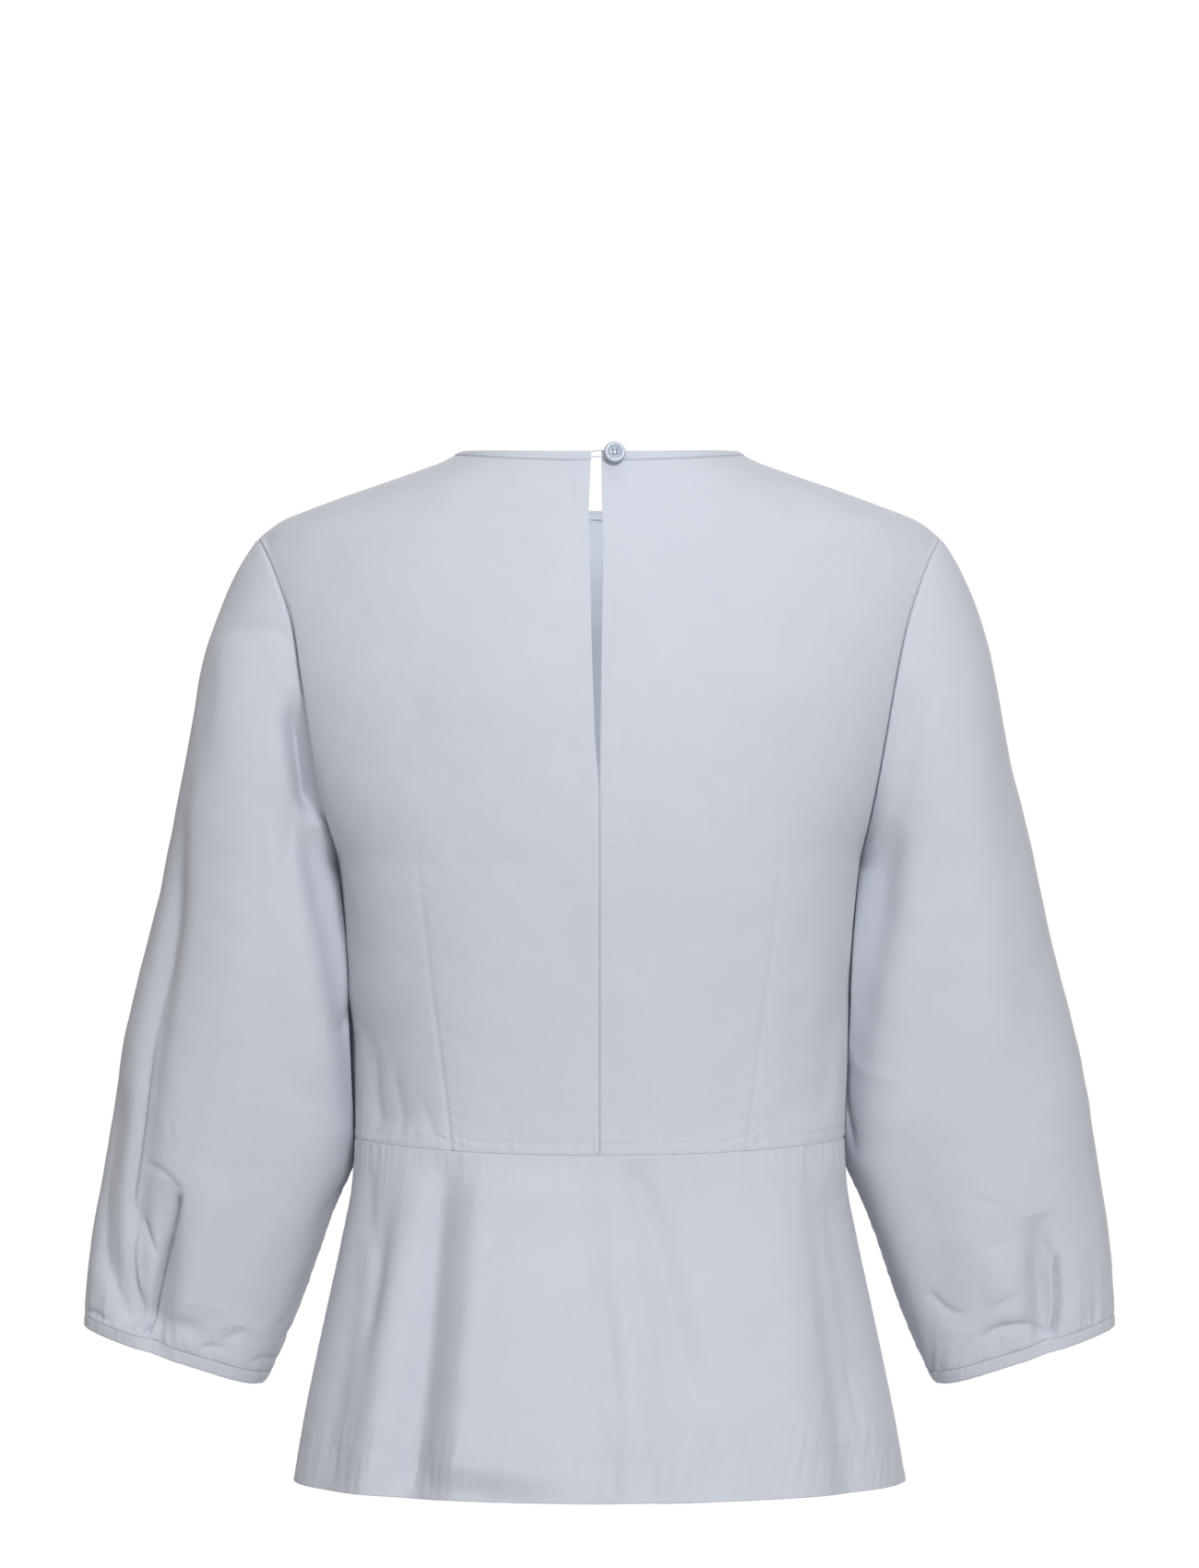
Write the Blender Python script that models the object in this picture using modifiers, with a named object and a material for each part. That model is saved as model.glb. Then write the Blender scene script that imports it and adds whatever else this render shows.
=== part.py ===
"""A light cotton blouse with wide three-quarter sleeves, a buttoned slit at the back and a flared peplum.

Metres, +Z up. The origin lies midway between the neck ends of the two shoulder seams, where the wearer's
shoulders carry the blouse. Its back faces -Y and its front faces +Y. Left and right are the wearer's own.
The cloth hangs as it does when it is worn: every piece is a thin wall, open at neck, slit, hem and cuffs.
"""

import bisect
import math

import bmesh
import bpy
from mathutils import Matrix, Vector

# Cloth and seams
CLOTH = 0.0012
BAND_CLOTH = 0.0018
BAND_PROUD = 0.0003
SEAM_GAP = 0.0003
HALF_GAP = SEAM_GAP / 2
NECK_SEAM_SHIFT = 0.0002

# Heights down the body
SHOULDER_TIP_Z = -0.0493
ARMHOLE_HEIGHT = 0.1837
UNDERARM_Z = SHOULDER_TIP_Z - ARMHOLE_HEIGHT
WAIST_SIDE_Z = -0.393
HEM_Z = -0.590
HEM_DEPTH = 0.025
HEM_TOP_Z = HEM_Z + HEM_DEPTH
HEM_STEP = 0.0006
BAND_EDGE_Z = -0.0023

# The armhole is an ellipse as seen from the side
ARMHOLE_BACK = 0.054
ARMHOLE_FRONT = 0.050
ARMHOLE_MID_Z = SHOULDER_TIP_Z - ARMHOLE_HEIGHT / 2

# How the rows bend between the centre line and the side
ROW_BEND = 2.2

# Mesh density
ARMHOLE_STEP = 15
COLUMNS_INSIDE_DART = 5
COLUMNS_OUTSIDE_DART = 6
PEPLUM_COLUMNS = 38
YOKE_ROWS = (BAND_EDGE_Z, -0.012, -0.023, -0.036, SHOULDER_TIP_Z)
SIDE_ROWS = (-0.262, -0.295, -0.330, -0.362, WAIST_SIDE_Z)
PEPLUM_PANEL_ROWS = (WAIST_SIDE_Z, -0.412, -0.437, -0.466, -0.499, -0.533)
PEPLUM_ROWS = (*PEPLUM_PANEL_ROWS, HEM_TOP_Z + HEM_STEP, HEM_TOP_Z, HEM_Z)

# Small steps for slopes, in metres, and in shares of a panel's half-width
STEP = 0.0001
ACROSS_STEP = 0.001
ACROSS_MARGIN = 0.002


class Curve:
    """A smooth curve through a table's points that never swings past them."""

    def __init__(self, keys, values):
        self.keys, self.values = keys, values
        spans = [b - a for a, b in zip(keys, keys[1:])]
        rises = [(b - a) / span for a, b, span in zip(values, values[1:], spans)]
        self.slopes = [rises[0]]
        for before, after in zip(rises, rises[1:]):
            same_way = before * after > 0
            self.slopes.append(2 * before * after / (before + after) if same_way else 0.0)
        self.slopes.append(rises[-1])

    def __call__(self, at):
        at = min(max(at, self.keys[0]), self.keys[-1])
        i = min(bisect.bisect_right(self.keys, at), len(self.keys) - 1) - 1
        span = self.keys[i + 1] - self.keys[i]
        u = (at - self.keys[i]) / span
        start, end = self.values[i], self.values[i + 1]
        pull_in, pull_out = self.slopes[i] * span, self.slopes[i + 1] * span
        blend = u * u * (3 - 2 * u)
        return start + (end - start) * blend + u * (1 - u) * ((1 - u) * pull_in - u * pull_out)


def curves(names, *rows):
    """Curves from a short table. The first named column is the key, and each other column is a curve."""
    rows = sorted(rows)
    keys = [row[0] for row in rows]
    return {name: Curve(keys, [row[i] for row in rows]) for i, name in enumerate(names.split()) if i}


# Depth of the worn blouse behind and before the side seams, and how square its level sections are
profile = curves(
    "z back front squareness",
    (0.000, 0.0680, 0.076, 2.00),
    (-0.015, 0.0715, 0.079, 1.90),
    (-0.030, 0.0775, 0.083, 1.80),
    (-0.060, 0.0900, 0.094, 1.75),
    (-0.100, 0.1030, 0.106, 1.95),
    (-0.150, 0.1125, 0.117, 2.20),
    (-0.200, 0.1140, 0.125, 2.30),
    (-0.240, 0.1110, 0.127, 2.40),
    (-0.290, 0.1020, 0.120, 2.40),
    (-0.345, 0.0920, 0.107, 2.40),
    (-0.396, 0.0870, 0.100, 2.40),
    (-0.430, 0.0900, 0.102, 2.35),
    (-0.490, 0.1040, 0.110, 2.20),
    (-0.550, 0.1170, 0.119, 2.05),
    (HEM_Z, 0.1240, 0.124, 1.95),
)

# Half-width along the shoulder seam, from the neck to the sleeve
shoulder = curves(
    "z x",
    (0.000, 0.0795),
    (-0.0053, 0.0888),
    (-0.0106, 0.1025),
    (-0.0212, 0.1336),
    (-0.0318, 0.1630),
    (-0.0400, 0.1832),
    (SHOULDER_TIP_Z, 0.1955),
)

# Half-width along the armhole seam
armhole = curves(
    "z x",
    (SHOULDER_TIP_Z, 0.1955),
    (-0.060, 0.1895),
    (-0.075, 0.1830),
    (-0.100, 0.1745),
    (-0.130, 0.1680),
    (-0.165, 0.1620),
    (-0.197, 0.1565),
    (-0.218, 0.1525),
    (UNDERARM_Z, 0.1495),
)

# Half-width along the side seam, from the underarm over the waist to the hem
side_seam = curves(
    "z x",
    (UNDERARM_Z, 0.1495),
    (-0.275, 0.1465),
    (-0.320, 0.1440),
    (-0.355, 0.1422),
    (WAIST_SIDE_Z, 0.1405),
    (-0.4187, 0.1420),
    (-0.4505, 0.1478),
    (-0.498, 0.1580),
    (-0.546, 0.1680),
    (HEM_Z, 0.1757),
)

# Height at the centre line of the row that meets the panel's edge at z
row_centre = curves(
    "z back front",
    (0.000, -0.0030, -0.0300),
    (BAND_EDGE_Z, -0.0080, -0.0350),
    (-0.010, -0.0155, -0.0420),
    (-0.022, -0.0270, -0.0510),
    (-0.035, -0.0385, -0.0610),
    (SHOULDER_TIP_Z, -0.0515, -0.0720),
    (-0.0706, -0.0718, -0.0880),
    (-0.095, -0.0955, -0.1060),
    (-0.125, -0.1252, -0.1305),
    (-0.157, -0.1570, -0.1590),
    (-0.330, -0.3300, -0.3300),
    (-0.365, -0.3680, -0.3665),
    (WAIST_SIDE_Z, -0.3990, -0.3965),
    (HEM_Z, HEM_Z, HEM_Z),
)

# How far the slit's two edges lie from the centre back. Below the slit they meet in a seam.
slit = curves(
    "z left right",
    (0.000, 0.0045, 0.0010),
    (-0.038, 0.0060, 0.0015),
    (-0.061, 0.0054, 0.0020),
    (-0.113, 0.0042, 0.0011),
    (-0.165, 0.0024, 0.0004),
    (-0.200, HALF_GAP, HALF_GAP),
    (-0.400, HALF_GAP, HALF_GAP),
)

# Waist darts: half-width at a height, and how deep the stitched groove is there
darts = {
    "back": curves(
        "z x groove",
        (0.000, 0.045, 0.0),
        (-0.120, 0.098, 0.0),
        (-0.205, 0.103, 0.0),
        (-0.240, 0.101, 0.0008),
        (-0.399, 0.083, 0.0015),
    ),
    "front": curves(
        "z x groove",
        (0.000, 0.045, 0.0),
        (-0.120, 0.090, 0.0),
        (-0.265, 0.088, 0.0),
        (-0.295, 0.087, 0.0008),
        (-0.399, 0.078, 0.0015),
    ),
}
DART_HALF_WIDTH = 0.004
DART_LIMIT = 0.62

# Peplum folds: place across at waist and hem, half-width, and depth, which is negative for a trough
PEPLUM_FOLDS = {
    "back": (
        # waist_x, hem_x, half_width, depth
        (-0.126, -0.158, 0.008, -0.0035),
        (-0.106, -0.133, 0.010, 0.0045),
        (-0.086, -0.110, 0.013, -0.0080),
        (-0.064, -0.080, 0.011, 0.0030),
        (-0.010, -0.004, 0.014, -0.0025),
        (0.004, 0.024, 0.012, 0.0035),
        (0.020, 0.054, 0.016, -0.0040),
        (0.096, 0.116, 0.016, 0.0030),
        (0.118, 0.144, 0.010, -0.0055),
    ),
    "front": (
        (-0.118, -0.146, 0.011, -0.0050),
        (-0.098, -0.122, 0.012, 0.0035),
        (-0.052, -0.070, 0.015, -0.0055),
        (-0.012, -0.020, 0.014, 0.0030),
        (0.040, 0.056, 0.016, -0.0060),
        (0.074, 0.096, 0.013, 0.0035),
        (0.110, 0.138, 0.011, -0.0045),
    ),
}
FOLD_WAIST_SHARE = 0.6
FOLD_RISE = 0.8
SEAM_FADE = 6

# Sleeve rings: the outer and inner end of each ring, how far forward its middle lies, and its half-depth
sleeve_rings = curves(
    "share outer_x outer_z inner_x inner_z middle_y half_depth",
    (0.15, 0.2380, -0.1830, 0.1480, -0.2460, 0.006, 0.0580),
    (0.23, 0.2470, -0.2200, 0.1430, -0.2800, 0.010, 0.0585),
    (0.32, 0.2560, -0.2600, 0.1380, -0.3160, 0.014, 0.0590),
    (0.42, 0.2660, -0.3000, 0.1350, -0.3500, 0.018, 0.0580),
    (0.51, 0.2755, -0.3400, 0.1355, -0.3800, 0.021, 0.0560),
    (0.60, 0.2830, -0.3760, 0.1410, -0.4060, 0.023, 0.0530),
    (0.70, 0.2885, -0.4080, 0.1540, -0.4360, 0.026, 0.0500),
    (0.80, 0.2935, -0.4400, 0.1655, -0.4675, 0.029, 0.0460),
    (0.90, 0.2968, -0.4710, 0.1772, -0.4985, 0.032, 0.0415),
    (1.00, 0.2985, -0.4980, 0.1908, -0.5298, 0.034, 0.0365),
    (1.03, 0.2989, -0.5048, 0.1946, -0.5368, 0.035, 0.0355),
)
CAP_SHARE = 0.15
CAP_ROWS = 4
ARM_ROWS = (0.21, 0.28, 0.36, 0.44, 0.52, 0.60, 0.68, 0.76, 0.83, 0.89, 0.94, 0.975, 1.0)
CUFF_ROWS = (1.003, 1.015, 1.03)
CUFF_BACK_DIP = 0.0013
PLEAT_COLUMNS = (-13, -8, 2, 7)

# Which way the sleeve leaves the armhole, under the arm and at the shoulder, and how far it fans out
UNDERARM_LEAVE = Vector((0.12, 0, -0.99))
SHOULDER_LEAVE = Vector((0.62, 0, -0.78))
LEAVE_FAN = 0.18

# Gaps beside the armhole seam and the body
SLEEVE_START_GAP = 0.0004
SLEEVE_BODY_GAP = 0.0015
GAP_FADE_HEIGHT = 0.02
ARM_RADIUS = 0.055

# Steps along and around a sleeve for slopes
SHARE_STEP = 0.003
ANGLE_STEP = 2

# Sleeve folds: where along and around the sleeve each starts and ends, half-width, and depth.
# Angles run from 0 at the outer edge over 90 at the back to 180 at the underarm and 270 at the front.
CUFF_PLEAT_ANGLE = 78
SLEEVE_FOLDS = {
    "left": (
        # share_1, share_2, angle_1, angle_2, half_width, depth
        (0.70, 1.04, 68, CUFF_PLEAT_ANGLE, 0.008, -0.0095),
        (0.66, 1.00, 90, 92, 0.009, 0.0030),
        (0.12, 0.98, 30, 60, 0.009, -0.0055),
        (0.06, 0.55, 128, 150, 0.012, -0.0060),
        (0.10, 0.50, 108, 128, 0.013, 0.0030),
        (0.15, 0.80, 238, 285, 0.015, -0.0050),
    ),
    "right": (
        (0.76, 1.04, 68, CUFF_PLEAT_ANGLE, 0.007, -0.0085),
        (0.80, 1.00, 92, 94, 0.011, 0.0030),
        (0.06, 0.60, 124, 148, 0.013, -0.0055),
        (0.12, 0.62, 60, 76, 0.016, 0.0025),
        (0.20, 0.80, 254, 288, 0.015, -0.0045),
        (0.55, 0.95, 118, 128, 0.014, -0.0035),
    ),
}
SLEEVE_FOLD_RISE = 0.7

# Button, its thread shank and its loop
BUTTON_RADIUS = 0.0061
BUTTON_THICKNESS = 0.0024
BUTTON_LIFT = 0.0026
BUTTON_X = 0.0083
BUTTON_BELOW_EDGE = 0.0018
BUTTON_STEPS = 28
HOLES = 4
HOLE_RADIUS = 0.0007
HOLE_OFFSET = 0.00115
SHANK_WAIST_RADIUS = 0.0010
SHANK_END_RADIUS = 0.0013
SHANK_STEPS = 14
LOOP_RADIUS = 0.00045
LOOP_LIFT = 0.0012
LOOP_HALF_WIDTH = 0.0017
LOOP_BEND_STEPS = 8

PALE_BLUE = (0.60, 0.66, 0.75, 1.0)
BUTTON_BLUE = (0.42, 0.49, 0.58, 1.0)


def row_edge_x(z):
    """Half-width of a panel at its edge: the shoulder, armhole or side seam, from the top down."""
    if z >= SHOULDER_TIP_Z:
        return shoulder["x"](z)
    return armhole["x"](z) if z > UNDERARM_Z else side_seam["x"](z)


def armhole_depth(z, face):
    """How far the armhole seam lies behind or before the shoulder seam at a height."""
    share = (z - ARMHOLE_MID_Z) / (ARMHOLE_HEIGHT / 2)
    half_depth = ARMHOLE_BACK if face == "back" else ARMHOLE_FRONT
    return half_depth * math.sqrt(max(0.0, 1 - share * share))


def section(z, face):
    """Half-width, depth and squareness of the level section that the panels lie on."""
    depth, square = profile[face](z), profile["squareness"](z)
    half_width = row_edge_x(z)
    if UNDERARM_Z < z < SHOULDER_TIP_Z:
        edge_share = (armhole_depth(z, face) / depth) ** square
        half_width /= (1 - edge_share) ** (1 / square)
    return half_width, depth, square


def body_point(x, z, face):
    """The point of the outer cloth surface at x and z."""
    half_width, depth, square = section(z, face)
    share = min(abs(x) / half_width, 1.0) ** square
    y = depth * (1 - share) ** (1 / square)
    return Vector((x, -y if face == "back" else y, z))


def off_side_seam(point, face):
    """The point, kept off the plane of the side and shoulder seams by half a gap."""
    y = max(abs(point.y), HALF_GAP)
    return Vector((point.x, -y if face == "back" else y, point.z))


def edge_angle(face, edge_z):
    """The angle round the level section at which the panel's edge lies."""
    half_width, _, square = section(edge_z, face)
    return math.asin(min(1.0, (row_edge_x(edge_z) / half_width) ** (square / 2)))


def panel_point(face, across, edge_z):
    """A panel's point: across runs from -1 to 1 between its edges, along the row that ends at edge_z."""
    half_width, _, square = section(edge_z, face)
    x = half_width * math.sin(abs(across) * edge_angle(face, edge_z)) ** (2 / square)
    share = x / row_edge_x(edge_z)
    centre_z = row_centre[face](edge_z)
    z = centre_z + (edge_z - centre_z) * share**ROW_BEND
    if face == "back" and edge_z >= WAIST_SIDE_Z:
        x += slit["left" if math.copysign(1, across) < 0 else "right"](z) * (1 - share)
    return body_point(math.copysign(x, across), z, face)


def surface_normal(surface, u, v, u_step, v_step):
    """Unit normal of a surface function, from small steps to both sides."""
    along_u = surface(u + u_step, v) - surface(u - u_step, v)
    along_v = surface(u, v + v_step) - surface(u, v - v_step)
    return along_u.cross(along_v).normalized()


def panel_normal(face, across, edge_z, below):
    """Outward normal of a panel, read just inside its edges and, at its top row, just below it."""
    inside = min(abs(across), 1 - ACROSS_MARGIN)
    inside = math.copysign(max(inside, ACROSS_MARGIN), across)
    at_z = edge_z - 2 * STEP if below else edge_z + 2 * STEP
    normal = surface_normal(lambda u, v: panel_point(face, u, v), inside, at_z, ACROSS_STEP, STEP)
    return normal if face == "back" else -normal


def flattened(normal, axis):
    """The normal turned into a seam's plane, so that two pieces that meet there are cut alike."""
    turned = normal.copy()
    turned[axis] = 0
    return turned.normalized()


def add_object(name, data, material):
    """An object of the blouse with its own material."""
    data.materials.append(material)
    piece = bpy.data.objects.new(name, data)
    blouse.objects.link(piece)
    return piece


def wall(name, outer, inner, material, closed=False):
    """A thin wall between two grids of points. Both faces are cut along the same diagonals."""
    bm = bmesh.new()
    skins = [[[bm.verts.new(p) for p in row] for row in grid] for grid in (outer, inner)]
    rows, columns = len(outer), len(outer[0])
    steps = range(columns if closed else columns - 1)
    for r in range(rows - 1):
        for c in steps:
            d = (c + 1) % columns
            falling = (outer[r][c] - outer[r + 1][d]).length < (outer[r][d] - outer[r + 1][c]).length
            for skin in skins:
                a, b, low_b, low_a = skin[r][c], skin[r][d], skin[r + 1][d], skin[r + 1][c]
                halves = ((a, b, low_b), (a, low_b, low_a)) if falling else ((a, b, low_a), (b, low_b, low_a))
                for half in halves:
                    bm.faces.new(half)
    front, back = skins
    for c in steps:
        d = (c + 1) % columns
        for r in (0, rows - 1):
            bm.faces.new((front[r][c], front[r][d], back[r][d], back[r][c]))
    if not closed:
        for r in range(rows - 1):
            for c in (0, columns - 1):
                bm.faces.new((front[r][c], front[r + 1][c], back[r + 1][c], back[r][c]))
    bmesh.ops.recalc_face_normals(bm, faces=bm.faces)
    mesh = bpy.data.meshes.new(name)
    bm.to_mesh(mesh)
    bm.free()
    mesh.shade_smooth()
    mesh.set_sharp_from_angle(angle=math.radians(40))
    return add_object(name, mesh, material)


def across_at(face, x, edge_z):
    """The across value whose point lies at half-width x."""
    half_width, _, square = section(edge_z, face)
    return math.asin(min(1.0, (x / half_width) ** (square / 2))) / edge_angle(face, edge_z)


def dart_stations(face, edge_z):
    """Across values from the centre line to the edge, with three on the dart."""
    dart_x = min(darts[face]["x"](row_centre[face](edge_z)), DART_LIMIT * row_edge_x(edge_z))
    offsets = (-DART_HALF_WIDTH, 0, DART_HALF_WIDTH)
    inner, middle, outer = (across_at(face, dart_x + offset, edge_z) for offset in offsets)
    inside = [inner * i / COLUMNS_INSIDE_DART for i in range(COLUMNS_INSIDE_DART + 1)]
    outside = [outer + (1 - outer) * i / COLUMNS_OUTSIDE_DART for i in range(COLUMNS_OUTSIDE_DART + 1)]
    return inside + [middle] + outside


def bodice_stations(face, half, edge_z):
    """Across values from left to right over one half of the back, or over the whole front."""
    right = dart_stations(face, edge_z)
    left = [-value for value in reversed(right)]
    if half == "both":
        return left[:-1] + right
    return left if half == "left" else right


def dart_groove(face, point):
    """How deep the dart's stitched groove is at a point."""
    off_dart = abs(abs(point.x) - darts[face]["x"](point.z)) / DART_HALF_WIDTH
    return darts[face]["groove"](point.z) * max(0.0, 1 - off_dart)


def seam_flattened(normal, across, edge_z, half):
    """The normal, turned into the plane of each seam that passes through this point."""
    if abs(across) == 1 and not UNDERARM_Z < edge_z < SHOULDER_TIP_Z:
        normal = flattened(normal, 1)
    if across == 0 and half != "both":
        normal = flattened(normal, 0)
    if edge_z == WAIST_SIDE_Z:
        normal = flattened(normal, 2)
    return normal


def bodice_piece(name, face, half, rows, thickness, proud, material):
    """A wall on the bodice's surface. Each row is its edge height and how far up it is shifted for a gap."""
    outer, inner = [], []
    for edge_z, shift in rows:
        outer_row, inner_row = [], []
        for across in bodice_stations(face, half, edge_z):
            normal = panel_normal(face, across, edge_z, below=edge_z != WAIST_SIDE_Z)
            normal = seam_flattened(normal, across, edge_z, half)
            point = off_side_seam(panel_point(face, across, edge_z), face) + Vector((0, 0, shift))
            groove = dart_groove(face, point)
            outer_row.append(point + normal * (proud - groove))
            inner_row.append(point + normal * (proud - groove - thickness))
        outer.append(outer_row)
        inner.append(inner_row)
    wall(name, outer, inner, material)


def armhole_rows():
    """Edge heights at even angles round the armhole, down to the underarm."""
    angles = range(ARMHOLE_STEP, 180, ARMHOLE_STEP)
    heights = [ARMHOLE_MID_Z + ARMHOLE_HEIGHT / 2 * math.cos(math.radians(angle)) for angle in angles]
    return (*heights, UNDERARM_Z)


def bodice(face, half, panel_name, band_name, material):
    """A bodice panel and the neck band above it."""
    rows = [(edge_z, 0) for edge_z in (*YOKE_ROWS, *armhole_rows(), *SIDE_ROWS)]
    rows[0] = (BAND_EDGE_Z, -NECK_SEAM_SHIFT)
    rows[-1] = (WAIST_SIDE_Z, HALF_GAP)
    bodice_piece(panel_name, face, half, rows, CLOTH, 0, material)
    band_rows = [(0.0, 0), (BAND_EDGE_Z, NECK_SEAM_SHIFT)]
    bodice_piece(band_name, face, half, band_rows, BAND_CLOTH, BAND_PROUD, material)


def peplum_relief(face, x, share):
    """How far the peplum's folds move the cloth out at x, share of the way from waist to hem."""
    relief = 0.0
    for waist_x, hem_x, half_width, depth in PEPLUM_FOLDS[face]:
        middle = waist_x + (hem_x - waist_x) * share
        spread = half_width * (FOLD_WAIST_SHARE + (1 - FOLD_WAIST_SHARE) * share)
        relief += depth * math.exp(-(((x - middle) / spread) ** 2))
    return relief * math.sin(math.pi / 2 * share) ** FOLD_RISE


def peplum(face, material):
    """The flared lower panel of one face, with its hem turned up to a second thickness."""
    outer, inner = [], []
    for edge_z in PEPLUM_ROWS:
        share = (WAIST_SIDE_Z - edge_z) / (WAIST_SIDE_Z - HEM_Z)
        at_waist = edge_z == WAIST_SIDE_Z
        hem_cloth = BAND_PROUD if edge_z <= HEM_TOP_Z else 0
        outer_row, inner_row = [], []
        for column in range(PEPLUM_COLUMNS + 1):
            across = 2 * column / PEPLUM_COLUMNS - 1
            point = off_side_seam(panel_point(face, across, edge_z), face)
            point.z -= HALF_GAP if at_waist else 0
            normal = panel_normal(face, across, edge_z, below=edge_z != HEM_Z)
            normal = seam_flattened(normal, across, edge_z, "both")
            relief = peplum_relief(face, point.x, share) * (1 - abs(across) ** SEAM_FADE)
            outer_row.append(point + normal * (relief + hem_cloth))
            inner_row.append(point + normal * (relief - CLOTH - hem_cloth))
        outer.append(outer_row)
        inner.append(inner_row)
    wall("peplum_" + face, outer, inner, material)


def armhole_point(angle):
    """Where the sleeve starts beside the armhole seam, at an angle round it."""
    turn = math.radians(angle)
    z = ARMHOLE_MID_Z + ARMHOLE_HEIGHT / 2 * math.cos(turn)
    depth = ARMHOLE_BACK if math.sin(turn) > 0 else ARMHOLE_FRONT
    return Vector((armhole["x"](z) + SLEEVE_START_GAP, -depth * math.sin(turn), z))


def ring_point(share, angle):
    """A point of the hanging sleeve below its cap."""
    turn = math.radians(angle)
    ring = {name: curve(share) for name, curve in sleeve_rings.items()}
    outer = Vector((ring["outer_x"], ring["middle_y"], ring["outer_z"]))
    inner = Vector((ring["inner_x"], ring["middle_y"], ring["inner_z"]))
    behind = Vector((0, -ring["half_depth"], -CUFF_BACK_DIP * share))
    return (outer + inner) / 2 + (outer - inner) / 2 * math.cos(turn) + behind * math.sin(turn)


def sleeve_form(share, angle):
    """The smooth sleeve: a cap that leaves the armhole outwards and turns down into the rings."""
    if share >= CAP_SHARE:
        return ring_point(share, angle)
    turn = math.radians(angle)
    start, end = armhole_point(angle), ring_point(CAP_SHARE, angle)
    reach = (end - start).length
    upper = (1 + math.cos(turn)) / 2
    leave = UNDERARM_LEAVE.lerp(SHOULDER_LEAVE, upper) - Vector((0, LEAVE_FAN * math.sin(turn), 0))
    leave = leave.normalized() * reach
    arrive = (ring_point(CAP_SHARE + SHARE_STEP, angle) - end).normalized() * reach
    t = share / CAP_SHARE
    blend = t * t * (3 - 2 * t)
    return start.lerp(end, blend) + t * (1 - t) * ((1 - t) * leave - t * arrive)


def clear_of_body(point):
    """The point, moved out sideways where it would touch the bodice or the peplum."""
    if point.z > UNDERARM_Z:
        return point
    half_width, depth, square = section(point.z, "back" if point.y < 0 else "front")
    share = abs(point.y) / depth
    if share >= 1:
        return point
    fade = min(1.0, (UNDERARM_Z - point.z) / GAP_FADE_HEIGHT)
    gap = SLEEVE_START_GAP + (SLEEVE_BODY_GAP - SLEEVE_START_GAP) * fade
    limit = half_width * (1 - share**square) ** (1 / square) + gap
    return Vector((max(point.x, limit), point.y, point.z))


def sleeve_relief(side, share, angle):
    """How far the sleeve's folds move the cloth out at a place along and around it."""
    relief = 0.0
    for share_1, share_2, angle_1, angle_2, half_width, depth in SLEEVE_FOLDS[side]:
        along = (share - share_1) / (share_2 - share_1)
        if 0 < along < 1:
            middle = angle_1 + (angle_2 - angle_1) * along
            off = math.radians(angle - middle) * ARM_RADIUS / half_width
            relief += depth * math.exp(-off * off) * math.sin(math.pi * along) ** SLEEVE_FOLD_RISE
    return relief


def sleeve_point(side, share, angle):
    """A point of the sleeve's outer surface on the +X side, folds and all."""
    low = max(share, SHARE_STEP)
    normal = -surface_normal(sleeve_form, low, angle, SHARE_STEP, ANGLE_STEP)
    return clear_of_body(sleeve_form(share, angle) + normal * sleeve_relief(side, share, angle))


def sleeve_normal(side, share, angle):
    """Outward normal of the sleeve, or straight away from the armhole's middle where it is sewn in."""
    if share == 0:
        spoke = armhole_point(angle) - Vector((0, 0, ARMHOLE_MID_Z))
        return flattened(spoke, 0)
    low = max(share, 2 * SHARE_STEP)
    return -surface_normal(lambda u, v: sleeve_point(side, u, v), low, angle, SHARE_STEP, ANGLE_STEP)


def sleeve_angles():
    """Angles round the sleeve, with extra ones at the cuff pleat."""
    even = range(0, 360, ARMHOLE_STEP)
    return sorted((*even, *(CUFF_PLEAT_ANGLE + offset for offset in PLEAT_COLUMNS)))


def sleeve_piece(name, side, shares, thickness, proud, material):
    """A closed wall round the sleeve between the given shares of its length."""
    mirror = Vector((-1 if side == "left" else 1, 1, 1))
    outer, inner = [], []
    for share in shares:
        outer_row, inner_row = [], []
        for angle in sleeve_angles():
            point, normal = sleeve_point(side, share, angle), sleeve_normal(side, share, angle)
            outer_row.append((point + normal * proud) * mirror)
            inner_row.append((point + normal * (proud - thickness)) * mirror)
        outer.append(outer_row)
        inner.append(inner_row)
    wall(name, outer, inner, material, closed=True)


def sleeve(side, material):
    """One sleeve and the narrow band round its cuff."""
    cap = [CAP_SHARE * i / CAP_ROWS for i in range(CAP_ROWS + 1)]
    sleeve_piece("sleeve_" + side, side, (*cap, *ARM_ROWS), CLOTH, 0, material)
    sleeve_piece("cuff_" + side, side, CUFF_ROWS, BAND_CLOTH, BAND_PROUD, material)


def button_seat():
    """An empty on the right neck band, with X across the cloth, Y up it and Z out of it."""
    z = row_centre["back"](0.0) - BUTTON_BELOW_EDGE
    across = body_point(BUTTON_X + STEP, z, "back") - body_point(BUTTON_X - STEP, z, "back")
    up = body_point(BUTTON_X, z + STEP, "back") - body_point(BUTTON_X, z - STEP, "back")
    out = across.cross(up).normalized()
    across.normalize()
    turn = Matrix((across, out.cross(across), out)).transposed().to_4x4()
    seat = bpy.data.objects.new("button_seat", None)
    seat.matrix_world = Matrix.Translation(body_point(BUTTON_X, z, "back") + out * BAND_PROUD) @ turn
    blouse.objects.link(seat)
    return seat


def turned(name, outline, steps, seat, material):
    """A solid turned about Z from an outline of radius and height that runs from top to bottom."""
    points = [(radius, 0, z) for radius, z in outline]
    mesh = bpy.data.meshes.new(name)
    mesh.from_pydata(points, [(i, i + 1) for i in range(len(points) - 1)], [])
    piece = add_object(name, mesh, material)
    piece.parent = seat
    turn = piece.modifiers.new("turn", "SCREW")
    turn.steps = turn.render_steps = steps
    turn.use_merge_vertices = True
    turn.merge_threshold = 0.00001
    return piece


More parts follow.
